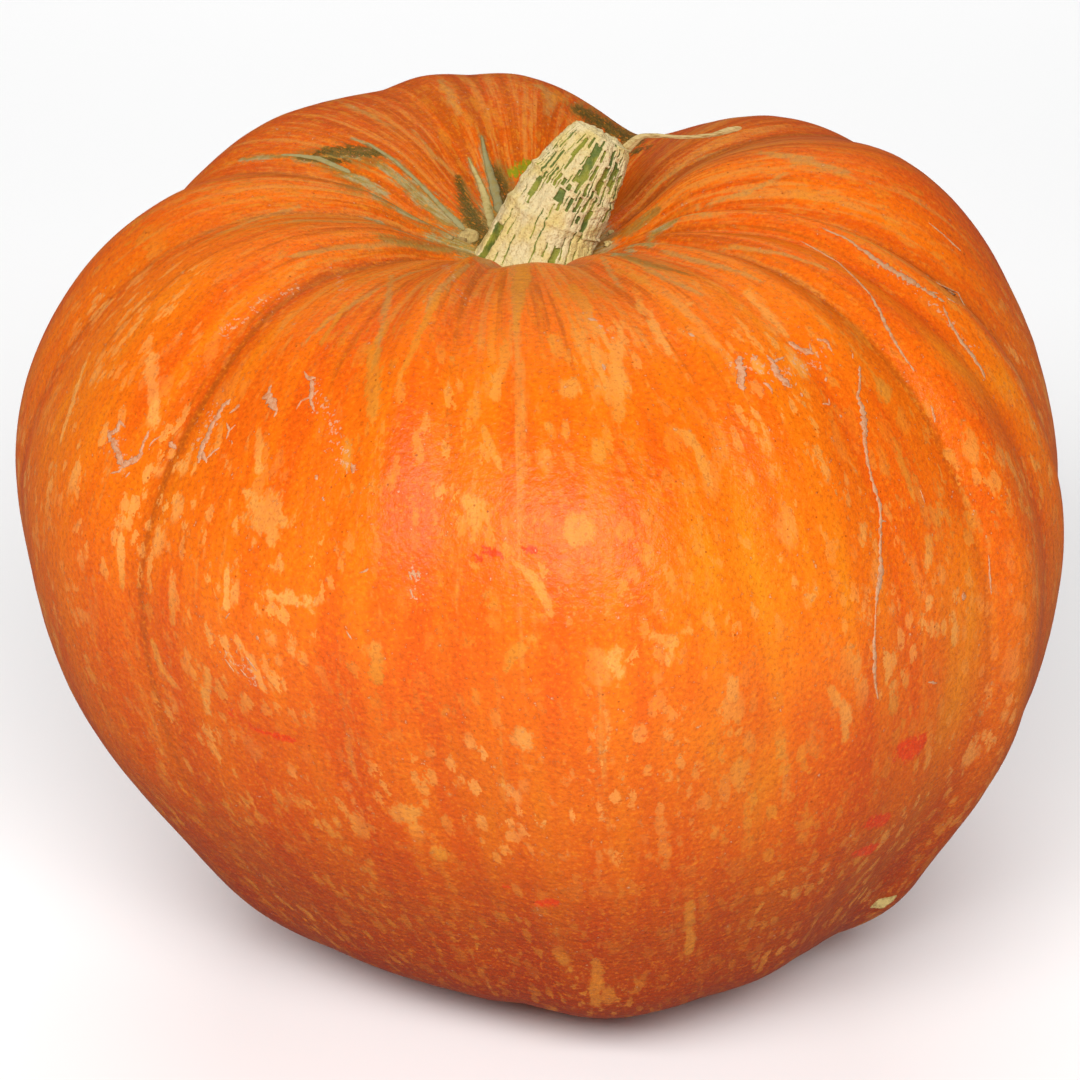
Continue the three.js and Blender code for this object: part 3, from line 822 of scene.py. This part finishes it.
# %% Sutures in the hollow
SUTURE_RAGGED = 0.2
SUTURES = [
    ([[(482, 134, 2), (487, 158, 5), (494, 184, 8), (499, 211, 7)]], 0.9, 0.9),
    ([[(468, 157, 2), (480, 184, 5), (490, 212, 8), (494, 229, 7)]], 1.0, 0.15),
    ([[(367, 141, 2), (395, 159, 3), (418, 180, 3), (441, 205, 4), (464, 228, 5)]], 0.5, 0.8),
    ([[(281, 153, 2), (299, 154, 3), (318, 157, 5), (350, 171, 4)]], 0.4, 0.75),
]
sutures = make_ribbons("sutures", SUTURES, SUTURE_RAGGED)

# %% [markdown]
# The stem is a bundle of corky cords over green flesh. Where the cork has split, narrow windows show the
# green. It could be done with colour alone, but the cords stand out against the light at the stem's
# edge, so the cork is raised and the windows are sunk in the mesh itself.

# %% The stem's measures
STEM_FOOT = np.array([-8.0, 15.0, 270.0]) + CAD_SHIFT
STEM_TIP = np.array([17.0, 26.0, 312.0]) + CAD_SHIFT
# Places along the stem, from 0 at its foot to 1 at its tip, and its radius there in mm.
STEM_RADII = [
    [-0.14, 25.5], [-0.06, 23.5], [0.03, 21.6], [0.12, 20.2], [0.22, 19], [0.35, 18.2], [0.5, 17.7],
    [0.65, 16.5], [0.8, 14.9], [0.92, 13.1], [0.98, 12.1], [1.0, 11.1], [1.02, 9.6],
]
STEM_UPRIGHT_UNTIL = 0.4
TOP_LEAN = 0.6
STEM_RIDGES = 5
STEM_RIDGE_DEPTH = 0.04
ROOTS, ROOT_SPREAD = 7, 0.09
STEM_LENGTH = float(np.linalg.norm(STEM_TIP - STEM_FOOT))
STEM_AXIS = (STEM_TIP - STEM_FOOT) / STEM_LENGTH
CORDS = 36
CELL_SHORTEST, CELL_LONGEST = 5.0, 13.0
CORK_RISE = 0.4
WINDOW_SINK = 0.7
SLIT_SPACING, SLIT_SHARE = 4.1, 0.42
# Azimuth, place along the stem, width and length in mm of the windows that stand out.
GREAT_WINDOWS = [
    (2, 0.79, 3.6, 15), (30, 0.74, 2.6, 9), (33, 0.90, 2.0, 5), (48, 0.80, 2.2, 9), (-28, 0.86, 2.4, 8),
    (38, 0.42, 2.6, 9), (14, 0.12, 2.4, 6), (-66, 0.10, 3.4, 10), (-48, 0.46, 2.4, 8),
    (-10, 0.50, 2.6, 5), (170, 0.70, 3.0, 12), (130, 0.50, 2.8, 9), (-140, 0.62, 3.0, 11),
]
WINDOW_RADIUS = 17
STEM_COLUMNS, STEM_ROWS = 324, 286
STEM_RINGS = (0.3, 0.58)
RING_RISE, RING_WIDTH = 0.75, 0.018
GRAIN_RISE, GRAIN_SIZE = 0.35, 2.6
KNOBBLE_RISE, KNOBBLE_SIZE = 0.55, 9.0
STEM_INSET = 0.55
GRAIN_SEED, KNOBBLE_SEED, BEND_SEED, TUFT_SEED = 31, 41, 43, 51
SKIN_RADIUS = 18
SUNK_ROOT = -0.13
STEM_HIGHEST = CAD_BOX[1][2] / MM - 0.1


# %% Cork cells and windows
def stem_cells(azimuth, along):
    """How open the cork is, 0 to 1, and the height of its cords: cells along each cord, some left open."""
    angle = np.radians(azimuth)
    run = along * STEM_LENGTH + 100
    skin = np.stack([SKIN_RADIUS * np.cos(angle), SKIN_RADIUS * np.sin(angle), run], -1)
    waver = 0.22 * clouds(skin * [1, 1, 0.35], 5.0, 5) + 0.12 * clouds(skin, 1.6, 7)
    cord_place = azimuth / 360 * CORDS + waver
    cord = np.floor(cord_place)
    inside = cord_place - cord
    cord = cord % CORDS
    length = CELL_SHORTEST + (CELL_LONGEST - CELL_SHORTEST) * chance(cord, seed=3)
    cell_place = (run + 0.7 * clouds(skin, 2.0, 12)) / length + chance(cord, seed=4) * 7
    cell = np.floor(cell_place)
    down = cell_place - cell
    # Open cells are rare at the foot, common above the middle and rare again at the torn edge.
    likely = 0.04 + 0.2 * ease((along - 0.3) / 0.15) + 0.56 * ease((along - 0.5) / 0.12)
    likely = likely - 0.6 * ease((along - 0.94) / 0.05)
    is_open = chance(cord, cell, seed=6) < likely
    rim_across = 0.17 + 0.14 * chance(cord, cell, seed=8)
    rim_down = 0.02 + 0.09 * chance(cord, cell, seed=9)
    across = ease((0.5 - np.abs(inside - 0.5) - rim_across) / 0.12)
    lengthwise = ease((0.5 - np.abs(down - 0.5) - rim_down) / 0.06)
    window = is_open * across * lengthwise

    # Slits: hair-thin gaps on the line between two cords.
    seam = np.round(cord_place)
    slit_cell = np.floor(run / SLIT_SPACING + chance(seam % CORDS, seed=14) * 5)
    slit = chance(seam % CORDS, slit_cell, seed=16) < SLIT_SHARE
    slit = slit * ease((0.13 - np.abs(cord_place - seam)) / 0.08)
    slit = slit * (along < 0.93) * ease((along + 0.02) / 0.08)
    window = np.maximum(window, 0.75 * slit)
    for turn, place, wide, long in GREAT_WINDOWS:
        off = ((azimuth - turn + 180) % 360 - 180) / 360 * 2 * np.pi * WINDOW_RADIUS
        off = off + 0.5 * clouds(skin, 2.5, 18)
        reach = np.maximum(np.abs(off) * 2 / wide, np.abs(along - place) * STEM_LENGTH * 2 / long)
        window = np.maximum(window, ease((1.1 - reach) / 0.25))
    rounded = np.sqrt(np.clip(1 - (2 * inside - 1) ** 2, 0, 1))
    return window, rounded


# %% The stem's surface
def stem_surface(azimuth, along):
    """Rings that lie flat at the foot and square to the stem higher up, with cords, windows and grain."""
    weight = ease(along / STEM_UPRIGHT_UNTIL)[..., None]
    normal = unit(np.array([0, 0, 1.0]) * (1 - weight) + STEM_AXIS * weight)
    right = unit(np.array([1.0, 0, 0]) - normal * normal[..., :1])
    back = np.cross(normal, right)
    heights, radii = np.array(STEM_RADII).T
    radius = sum(np.interp(along + shift, heights, radii) for shift in (-0.03, 0, 0.03)) / 3
    angle = np.radians(azimuth)
    radius = radius * (1 + STEM_RIDGE_DEPTH * np.cos(STEM_RIDGES * angle))
    # Where it spreads into the fruit, low roots stand out.
    radius = radius * (1 + ROOT_SPREAD * ease((0.1 - along) / 0.2) * np.cos(ROOTS * angle + 0.6))

    way = right * np.sin(angle)[..., None] - back * np.cos(angle)[..., None]
    centre = STEM_FOOT + along[..., None] * (STEM_TIP - STEM_FOOT)
    centre[..., 0] = centre[..., 0] + TOP_LEAN * ease((along - 0.5) / 0.4)
    plain = centre + way * radius[..., None]
    window, rounded = stem_cells(azimuth, along)
    relief = CORK_RISE * rounded * (1 - window) - WINDOW_SINK * window
    relief = relief + GRAIN_RISE * layered(plain, GRAIN_SIZE, GRAIN_SEED, 2) * (1 - 0.6 * window)
    relief = relief + KNOBBLE_RISE * layered(plain, KNOBBLE_SIZE, KNOBBLE_SEED, 2)
    bend = 0.03 * clouds(way * 2.5, 1.0, BEND_SEED)
    for place in STEM_RINGS:
        relief = relief + RING_RISE * np.exp(-(((along - place - bend) / RING_WIDTH) ** 2))
    made = plain + way * (relief - STEM_INSET)[..., None]
    made[..., 2] = np.minimum(made[..., 2], STEM_HIGHEST)
    return made, window


# %% Grow the stem
stem_along = np.linspace(SUNK_ROOT, 1.0, STEM_ROWS)[::-1]
stem_azimuth, stem_share = np.meshgrid(np.linspace(0, 360, STEM_COLUMNS, endpoint=False), stem_along)
stem_points, stem_window = stem_surface(stem_azimuth, stem_share)

# The broken top: rings that shrink to the middle over an uneven, fibrous face.
TOP_RINGS = 14
TUFT_RISE, TUFT_SIZE, TUFT_BASE = 0.9, 2.4, 0.6
shrink = np.linspace(0.06, 0.94, TOP_RINGS)[::-1][:, None, None]
top_middle = stem_points[0].mean(0) + STEM_AXIS * 0.4
top_rings = top_middle + (stem_points[0] - top_middle) * (1 - shrink)
tufts = TUFT_RISE * layered(top_rings, TUFT_SIZE, TUFT_SEED, 2) + TUFT_BASE
top_rings = top_rings + STEM_AXIS * (tufts * np.sin(np.pi * (1 - shrink[..., 0])))[..., None]
stem_rings = np.concatenate([top_rings, stem_points])
stem_skin = closed_skin(stem_rings, top_middle, stem_rings[-1].mean(0))
window_level = np.concatenate([np.zeros(top_rings.shape[:2]), stem_window])
stem = make_piece("stem_cork", stem_skin, {"window": with_ends(window_level)})
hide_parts("stem")

# %% [markdown]
# A torn strand of dry fibre sticks out of the broken top and ends in a small flat husk. It is a round
# profile carried along the CAD part's own path, with its root sunk in the stem, and flattened at the end.

# %% The strand
STRAND_PATH = np.array([
    [26.0, 25.5, 306.6], [29.8, 26, 310.3], [32.5, 26, 312], [39, 26.5, 311.8], [46, 27, 311],
    [52, 27.5, 311], [58, 28, 311.5], [61, 28.3, 312.2], [64, 28.6, 313], [67, 28.8, 313.6],
    [69, 29, 314],
])
STRAND_RADII = np.array([2.0, 1.5, 0.9, 0.7, 0.62, 0.6, 0.7, 1.05, 1.25, 0.95, 0.4])
STRAND_ROWS, STRAND_SIDES = 130, 18
HUSK_FROM, HUSK_OVER, HUSK_FLAT = 6.2, 1.5, 0.45
FIBRES, FIBRE_DEPTH = 5, 0.16
STRAND_UNEVEN, STRAND_SIZE, STRAND_SEED = 0.12, 3.0, 61

path_places = np.arange(len(STRAND_PATH))
path_run = np.linspace(0, len(STRAND_PATH) - 1, STRAND_ROWS)
smooth_path = sum(
    np.stack([np.interp(path_run + shift, path_places, axis) for axis in STRAND_PATH.T], -1)
    for shift in (-0.3, 0, 0.3)
) / 3 + CAD_SHIFT
strand_along = unit(np.gradient(smooth_path, axis=0))
strand_across = unit(np.cross([0, 0, 1.0], strand_along))
strand_over = np.cross(strand_across, strand_along)
strand_radius = np.interp(path_run, path_places, STRAND_RADII)
turns = round_turn(STRAND_SIDES)
fibres = 1 + FIBRE_DEPTH * np.cos(FIBRES * turns + 1)[None]
fibres = fibres + STRAND_UNEVEN * clouds(smooth_path, STRAND_SIZE, STRAND_SEED)[:, None]
husk = ease((path_run - HUSK_FROM) / HUSK_OVER)[:, None]
half_wide = np.cos(turns)[None] * strand_radius[:, None] * fibres * (1 - HUSK_FLAT * husk)
half_thick = np.sin(turns)[None] * strand_radius[:, None] * fibres
strand_rings = smooth_path[:, None] + strand_across[:, None] * half_wide[..., None]
strand_rings = strand_rings + strand_over[:, None] * half_thick[..., None]
strand_skin = closed_skin(strand_rings, smooth_path[0], smooth_path[-1] + strand_along[-1] * 0.3)
strand = make_piece("strand_fibre", strand_skin, {})
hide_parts("stem_strand")

# %% [markdown]
# Small corky lumps sit round the stem, and a scab hangs low on the right. Each is a ball whose radius
# noise makes uneven, pressed into the rind.

# %% Lumps
# Each lump's pixel, its two radii along the rind and one out of it, and its tone. The scab is the last.
LUMPS = [
    ((467, 236), (3.6, 3.2, 2.6), 0.2), ((462, 240), (2.2, 2.0, 1.6), 0.4),
    ((607, 243), (1.5, 1.8, 1.4), 0.1), ((610, 232), (1.2, 1.5, 1.1), 0.1),
    ((604, 222), (1.4, 1.2, 1.2), 0.3), ((451, 237), (1.3, 1.0, 0.7), 0.3),
    ((884, 904), (5.5, 3.4, 1.7), 0.1),
]
LUMP_RINGS, LUMP_SIDES = 16, 24
LUMP_SEED = 81
LUMP_VARIES, LUMP_GRAIN = 0.35, 0.55


def lump(pixel, radii, seed):
    """A ball of three radii, along the rind twice and out of it, with a noisy radius."""
    azimuth, position = find_on_rind(np.array([pixel], float))
    (middle,), (normal,) = rind(azimuth, position)
    right = unit(np.cross([0, 0, 1.0], normal))
    upward = np.cross(normal, right)
    tilt = np.linspace(0, np.pi, LUMP_RINGS + 2)[1:-1, None]
    turn = round_turn(LUMP_SIDES)[None]
    ball = np.stack([np.sin(tilt) * np.cos(turn), np.sin(tilt) * np.sin(turn), np.cos(tilt) + 0 * turn], -1)
    ball = ball * (1 + LUMP_VARIES * layered(ball, LUMP_GRAIN, seed, 2))[..., None] * radii
    rings = middle + ball @ np.array([right, upward, normal])
    return closed_skin(rings, middle + normal * radii[2], middle - normal * radii[2])


skins = [lump(pixel, radii, LUMP_SEED + k) for k, (pixel, radii, _) in enumerate(LUMPS)]
tones = [np.full(len(skin[0]), tone) for skin, (_, _, tone) in zip(skins, LUMPS)]
crumbs = make_piece("cork_crumbs", gather(skins), {"tone": np.concatenate(tones)})

# %% [markdown]
# Finishes are node graphs, and shader maths reads best as plain expressions. One small class wraps a
# socket, so adding or multiplying two of them adds a Math node. Everything else comes from one method.


# %% Writing finishes
LAMPS_BRIGHTEN = 1.3


def paint(red, green, blue):
    """The surface's own colour from the one that is seen, 0 to 255, under lamps that brighten it."""
    seen = np.array([red, green, blue]) / 255
    linear = np.where(seen <= 0.04045, seen / 12.92, ((seen + 0.055) / 1.055) ** 2.4)
    return (*(linear / LAMPS_BRIGHTEN).tolist(), 1.0)


class Value:
    """A socket with numbers on it. Sums and products of it add Math nodes."""

    def __init__(self, finish, socket):
        self.finish = finish
        self.socket = socket

    def maths(self, operation, *values):
        """One Math node, fed with these values in order."""
        return self.finish.node("Math", {"operation": operation}, dict(enumerate(values)))

    def __add__(self, other):
        return self.maths("ADD", self, other)

    def __radd__(self, other):
        return self.maths("ADD", other, self)

    def __sub__(self, other):
        return self.maths("SUBTRACT", self, other)

    def __rsub__(self, other):
        return self.maths("SUBTRACT", other, self)

    def __mul__(self, other):
        return self.maths("MULTIPLY", self, other)

    def __rmul__(self, other):
        return self.maths("MULTIPLY", other, self)

    def larger(self, other):
        """Whichever of the two is larger."""
        return self.maths("MAXIMUM", self, other)

    def step(self, low, high):
        """0 below low, 1 above high and smooth between."""
        sockets = {"Value": self, "From Min": low, "From Max": high}
        return self.finish.node("MapRange", {"interpolation_type": "SMOOTHSTEP"}, sockets)


DULL_GLOSS = 0.21


# %% A finish
class Finish:
    """A material whose nodes are written one call at a time, over a first colour."""

    def __init__(self, name, colour, roughness=0.5):
        self.material = bpy.data.materials.new(name)
        self.material.use_nodes = True
        self.tree = self.material.node_tree
        self.surface = self.tree.nodes["Principled BSDF"]
        self.colour = colour
        self.set("Roughness", roughness)
        self.set("Specular IOR Level", DULL_GLOSS)

    def node(self, kind, settings=None, sockets=None, out=0):
        """A new node: its settings first, then the values or links of its sockets. Gives one output."""
        made = self.tree.nodes.new("ShaderNode" + kind)
        for name, value in (settings or {}).items():
            setattr(made, name, value)
        for name, value in (sockets or {}).items():
            self.fill(made.inputs[name], value)
        return Value(self, made.outputs[out])

    def fill(self, socket, value):
        """Link a value to the socket, or write a plain number or colour on it."""
        if isinstance(value, Value):
            self.tree.links.new(value.socket, socket)
        else:
            socket.default_value = value

    def set(self, name, value):
        """Fill one socket of the surface."""
        self.fill(self.surface.inputs[name], value)

    def level(self, name):
        """A number that the piece carries on its corners."""
        return self.node("Attribute", {"attribute_name": name}, out="Fac")

    def growth(self, across, along):
        """The growth direction, stretched: larger numbers make a finer pattern that way."""
        carried = self.node("Attribute", {"attribute_name": "growth"}, out="Vector")
        return self.node("VectorMath", {"operation": "MULTIPLY"}, {0: carried, 1: (across, across, along)})

    def place(self):
        """Where a point of the piece lies, in metres."""
        return self.node("TexCoord", out="Object")

    def noise(self, vector, scale, detail, roughness=0.55):
        """Smooth noise from 0 to 1. A larger scale makes it finer, and detail adds finer layers."""
        sockets = {"Vector": vector, "Scale": scale, "Detail": detail, "Roughness": roughness}
        return self.node("TexNoise", None, sockets)

    def cells(self, vector, scale):
        """How far the middle of the nearest cell is, and that cell's own random number."""
        sockets = {"Vector": vector, "Scale": scale}
        away = self.node("TexVoronoi", None, sockets, "Distance")
        colour = self.node("TexVoronoi", None, sockets, "Color")
        return away, self.node("SeparateColor", None, {0: colour})

    def mix(self, share, first, second):
        """A colour between two, by a share from 0 to 1."""
        return self.node("Mix", {"data_type": "RGBA"}, {0: share, 6: first, 7: second}, 2)

    def cover(self, share, colour):
        """Lay another colour over the one so far, by a share from 0 to 1."""
        self.colour = self.mix(share, self.colour, colour)

    def bump(self, height, distance, strength=1.0):
        """Small relief: height times the distance in metres."""
        made = self.node("Bump", None, {"Height": height, "Distance": distance, "Strength": strength})
        self.set("Normal", made)

    def dress(self, piece):
        """Give the piece this finish, with all the colours laid so far."""
        self.set("Base Color", self.colour)
        piece.data.materials.append(self.material)


# %% [markdown]
# The rind is satin orange. Wide clouds and rib-long streaks shift it between deep and yellow orange. Over
# that lie the olive and tan of the hollow, straw flecks large and small, brown pores and a fine speckle.
# Flecks are a little more matt than the skin, and its peel and wrinkles are a shallow bump.

# %% The rind's colours
DEEP_ORANGE = paint(240, 94, 1)
MAIN_ORANGE = paint(252, 118, 2)
WARM_YELLOW = paint(252, 146, 14)
FLECK_STRAW = paint(255, 174, 84)
FLECK_OCHRE = paint(226, 138, 34)
TAN_SKIN = paint(204, 142, 66)
STREAK_TAN = paint(226, 144, 58)
OLIVE_SKIN = paint(156, 130, 56)
OLIVE_BROWN = paint(122, 92, 30)
GREY_GREEN = paint(172, 160, 112)
DARK_GREEN = paint(74, 68, 20)
BRIGHT = paint(150, 150, 20)
SCAR_RED = paint(240, 60, 2)
LOW_PAINTED_SHADE = paint(158, 36, 1)
BACK_ORANGE = paint(196, 66, 1)
PORE_BROWN = paint(150, 62, 4)
BROWN_STREAK_AND_SHADE = paint(176, 84, 10)
SPECK_PALE = paint(255, 150, 24)
SCURF_PINK = paint(232, 176, 136)

# %% The rind's ground
LOW_BELOW = 0.23
BEHIND = (-0.02, 0.12)

satin = Finish("rind_orange", DEEP_ORANGE)
where = satin.place()
wide = satin.noise(where, 11, 2)
ribs = satin.noise(satin.growth(1, 0.12), 70, 3)
ragged = satin.noise(satin.growth(1, 0.55), 210, 3, 0.7)
fine = satin.noise(where, 620, 2, 0.65)
edge = (ragged - 0.5) * 3.6 + (fine - 0.5) * 1.8

tone = (wide - 0.5) * 1.1 + (ribs - 0.5) * 1.9 + satin.level("yellow") * 0.6 + 0.42
low = 1 - satin.node("SeparateXYZ", None, {"Vector": where}, "Z").step(0.0, LOW_BELOW)
behind = satin.node("SeparateXYZ", None, {"Vector": where}, "Y").step(*BEHIND)
satin.cover(tone.step(0.0, 0.7), MAIN_ORANGE)
satin.cover(tone.step(0.55, 1.4), WARM_YELLOW)
satin.cover(behind * 0.62, BACK_ORANGE)
# Painted shade: the rind turns a deep brown-red towards the floor, strongest at the foot.
satin.cover(low * 0.9, LOW_PAINTED_SHADE)


# %% Streaks over the shoulders, and painted shade in the grooves
def marked(name, ragged_by, start, full, extra=0.0):
    """A carried level, cut at a ragged edge, and none of it where the level itself is nought."""
    level = satin.level(name)
    return (level + edge * ragged_by + extra).step(start, full) * level.step(0.0, 0.2)


shoulder = satin.level("shoulder")
rib_streaks = satin.noise(satin.growth(1, 0.06), 130, 3, 0.65)
streak = (rib_streaks - 0.5) * 2.6 + (ragged - 0.5) * 1.1 + shoulder * 0.4
furrow = (0.5 - rib_streaks) * 3.0 + (ragged - 0.5) * 0.8 + shoulder * 0.5
# Painted shade: the rind across each groove is darkened with the back's deeper orange.
satin.cover(satin.level("valley_shade") * 0.5, BACK_ORANGE)
satin.cover(streak.step(0.28, 0.8) * 0.7, STREAK_TAN)
satin.cover(furrow.step(0.4, 0.95) * 0.6, BROWN_STREAK_AND_SHADE)
satin.cover(marked("tan", 0.42, 0.25, 0.9) * 0.8, TAN_SKIN)
# A brown line along each groove floor, partly the rind's own colour and partly painted shade.
satin.cover((satin.level("groove") * 1.1 + edge * 0.25).step(0.15, 0.95) * 0.7, BROWN_STREAK_AND_SHADE)

# %% Small flecks
fleck_place = satin.node("VectorMath", {"operation": "ADD"}, {0: satin.growth(1, 0.55), 1: edge * 0.0016})


def scattered(scale, most, share):
    """Flecks of one size: in each cell its own random number sets how far the fleck reaches."""
    away, number = satin.cells(fleck_place, scale)
    return ((number - share) * most - away + edge * 0.25).step(-0.12, 0.14)


crowd = satin.noise(where, 24, 1).step(0.4, 0.62) * (1 - shoulder * 0.2)
large_fleck = (satin.level("fleck") * 1.1 + edge * 0.5).step(0.38, 0.78)
small_fleck = scattered(110, 1.5, 0.66) * (crowd * 0.6 + 0.25)
tiny_fleck = scattered(260, 1.5, 0.5) * (crowd * 0.5 + 0.3)
fleck = large_fleck.larger(small_fleck).larger(tiny_fleck)
# Flecks turn ochre on the shoulders and towards the back, and low down as part of the painted shade.
ochre_and_low_shade = low * 0.3 + shoulder * 0.3 + behind * 0.4
satin.cover(fleck * (ribs + 0.22), satin.mix((wide - ochre_and_low_shade).step(0.58, 0.3), FLECK_STRAW, FLECK_OCHRE))
satin.cover(marked("red", 0.36, 0.3, 0.6) * 0.85, SCAR_RED)

# %% Green round the stem
green_share = marked("green", 0.36, 0.15, 0.8, (rib_streaks - 0.5) * 1.2)
wash_and_shade_share = marked("wash_and_shade", 0.3, 0.15, 0.9, (rib_streaks - 0.5) * 1.4)
wash_and_shade_colour = satin.mix((fine + ragged).step(0.9, 1.15), OLIVE_BROWN, OLIVE_SKIN)
green_colour = satin.mix((ragged + rib_streaks * 0.6).step(0.7, 0.95), OLIVE_SKIN, GREY_GREEN)
dark_and_shade_colour = satin.mix((fine + ragged).step(0.95, 1.2), DARK_GREEN, OLIVE_BROWN)
# Olive bands; the one deep in the hollow left of the stem is partly painted shade.
satin.cover(wash_and_shade_share * 0.66, wash_and_shade_colour)
satin.cover(green_share * 0.9, green_colour)
satin.cover(marked("hollow", 0.3, 0.25, 0.85) * 0.85, green_colour)
# Dark green patches, with painted shade deep in the hollow and a painted shadow under the strand.
satin.cover(marked("dark_and_shade", 0.6, 0.25, 0.75) * 0.93, dark_and_shade_colour)
satin.cover(marked("bright", 0.4, 0.35, 0.7), BRIGHT)

# %% Pores, speckle and relief
pore_away, pore_number = satin.cells(where, 210)
scurf = satin.level("scurf") * 0.55 + (fine - 0.5) * 3.2 + (ragged - 0.5) * 0.8
satin.cover((1 - (pore_away - (pore_number - 0.45) * 0.13).step(0.0, 0.05)) * 0.7, PORE_BROWN)
satin.cover(fine.step(0.5, 0.7) * 0.34, PORE_BROWN)
satin.cover(fine.step(0.47, 0.3) * 0.34, SPECK_PALE)
satin.cover(scurf.step(0.6, 0.9) * 0.65, SCURF_PINK)
satin.set("Roughness", fleck * 0.12 + (ragged - 0.5) * 0.2 + green_share * 0.15 + 0.4)

wrinkles = satin.noise(satin.growth(0.22, 1.0), 150, 2)
peel = satin.noise(where, 360, 3, 0.62)
satin.bump(peel * 0.8 + wrinkles * (low * 0.9 + 0.2), 0.0009, 0.9)
satin.dress(fruit)
print("rind finish nodes:", len(satin.tree.nodes))

# %% [markdown]
# Scars, sutures and crumbs are the same dry cork in different tones, from pinkish beige to grey-green.
# Each piece carries its tone on its corners, so one function makes all three finishes.

# %% Dry cork
SCAR_PINK = paint(220, 160, 120)
SCAR_SHADE = paint(206, 116, 58)
SUTURE_CREAM = paint(206, 184, 118)
SUTURE_GREY = paint(150, 142, 98)
CORK_YELLOW = paint(228, 202, 128)
CRUMB_BROWN = paint(150, 118, 72)


def dress_in_cork(piece, name, roughness, colours, tone_by, grain, pits, pit_share, relief):
    """Pale cork, darker by the tone that it carries, with a third colour where its grain is high."""
    cork = Finish(name, colours[0], roughness)
    pattern = cork.noise(cork.place(), *grain)
    cork.cover(cork.level("tone") * tone_by, colours[1])
    cork.cover(pattern.step(*pits) * pit_share, colours[2])
    cork.bump(pattern, relief)
    cork.dress(piece)


SCAR_COLOURS = (SCAR_PINK, SUTURE_GREY, SCAR_SHADE)
SUTURE_COLOURS = (SUTURE_CREAM, SUTURE_GREY, OLIVE_SKIN)
CRUMB_COLOURS = (CORK_YELLOW, CRUMB_BROWN, CRUMB_BROWN)
dress_in_cork(scars, "scar_cork", 0.75, SCAR_COLOURS, 1, (520, 3, 0.7), (0.42, 0.66), 0.75, 0.0005)
dress_in_cork(sutures, "suture_cork", 0.7, SUTURE_COLOURS, 1, (420, 4), (0.45, 0.7), 0.6, 0.0006)
dress_in_cork(crumbs, "crumb_cork", 0.9, CRUMB_COLOURS, 2, (500, 4), (0.45, 0.7), 0.7, 0.0009)

# %% [markdown]
# The stem's cork is cream and grainy, a little browner in its pits. The windows are green, from fresh to
# olive. The strand is straw-coloured, with fine brown lines along it, and the floor is plain white.

# %% Stem, strand and floor
CORK_CREAM = paint(234, 214, 162)
CORK_BROWN = paint(176, 140, 78)
WINDOW_GREEN = paint(72, 98, 14)
WINDOW_OLIVE = paint(140, 142, 34)
FIBRE_STRAW = paint(212, 184, 124)
FIBRE_BROWN = paint(172, 136, 76)
LINES_ALONG = (0.15, 1, 1)

cork = Finish("stem_cork_cream", CORK_CREAM)
cork_place = cork.place()
cork_wide = cork.noise(cork_place, 90, 3)
cork_grain = cork.noise(cork_place, 1100, 3)
cut = (cork.level("window") + (cork_grain - 0.5) * 0.7).step(0.3, 0.6)
flesh = cork.mix(cork.noise(cork_place, 140, 2).step(0.4, 0.6), WINDOW_GREEN, WINDOW_OLIVE)
cork.cover(cork_wide.step(0.4, 0.65), CORK_YELLOW)
cork.cover(cork_grain.step(0.5, 0.75) * 0.7, CORK_BROWN)
cork.cover(cut * 0.92, flesh)
cork.set("Roughness", 0.88 - cut * 0.35)
cork.bump(cork_grain + cork_wide, 0.0007)
cork.dress(stem)

fibre = Finish("strand_straw", FIBRE_STRAW, 0.7)
drawn_out = fibre.node("VectorMath", {"operation": "MULTIPLY"}, {0: fibre.place(), 1: LINES_ALONG})
fibre_lines = fibre.noise(drawn_out, 1500, 3)
fibre.cover(fibre_lines.step(0.42, 0.7), FIBRE_BROWN)
fibre.bump(fibre_lines, 0.0004)
fibre.dress(strand)

Finish("floor_white", (FLOOR_WHITE, FLOOR_WHITE, FLOOR_WHITE, 1), 0.9).dress(floor)
print("finishes:", len(bpy.data.materials))
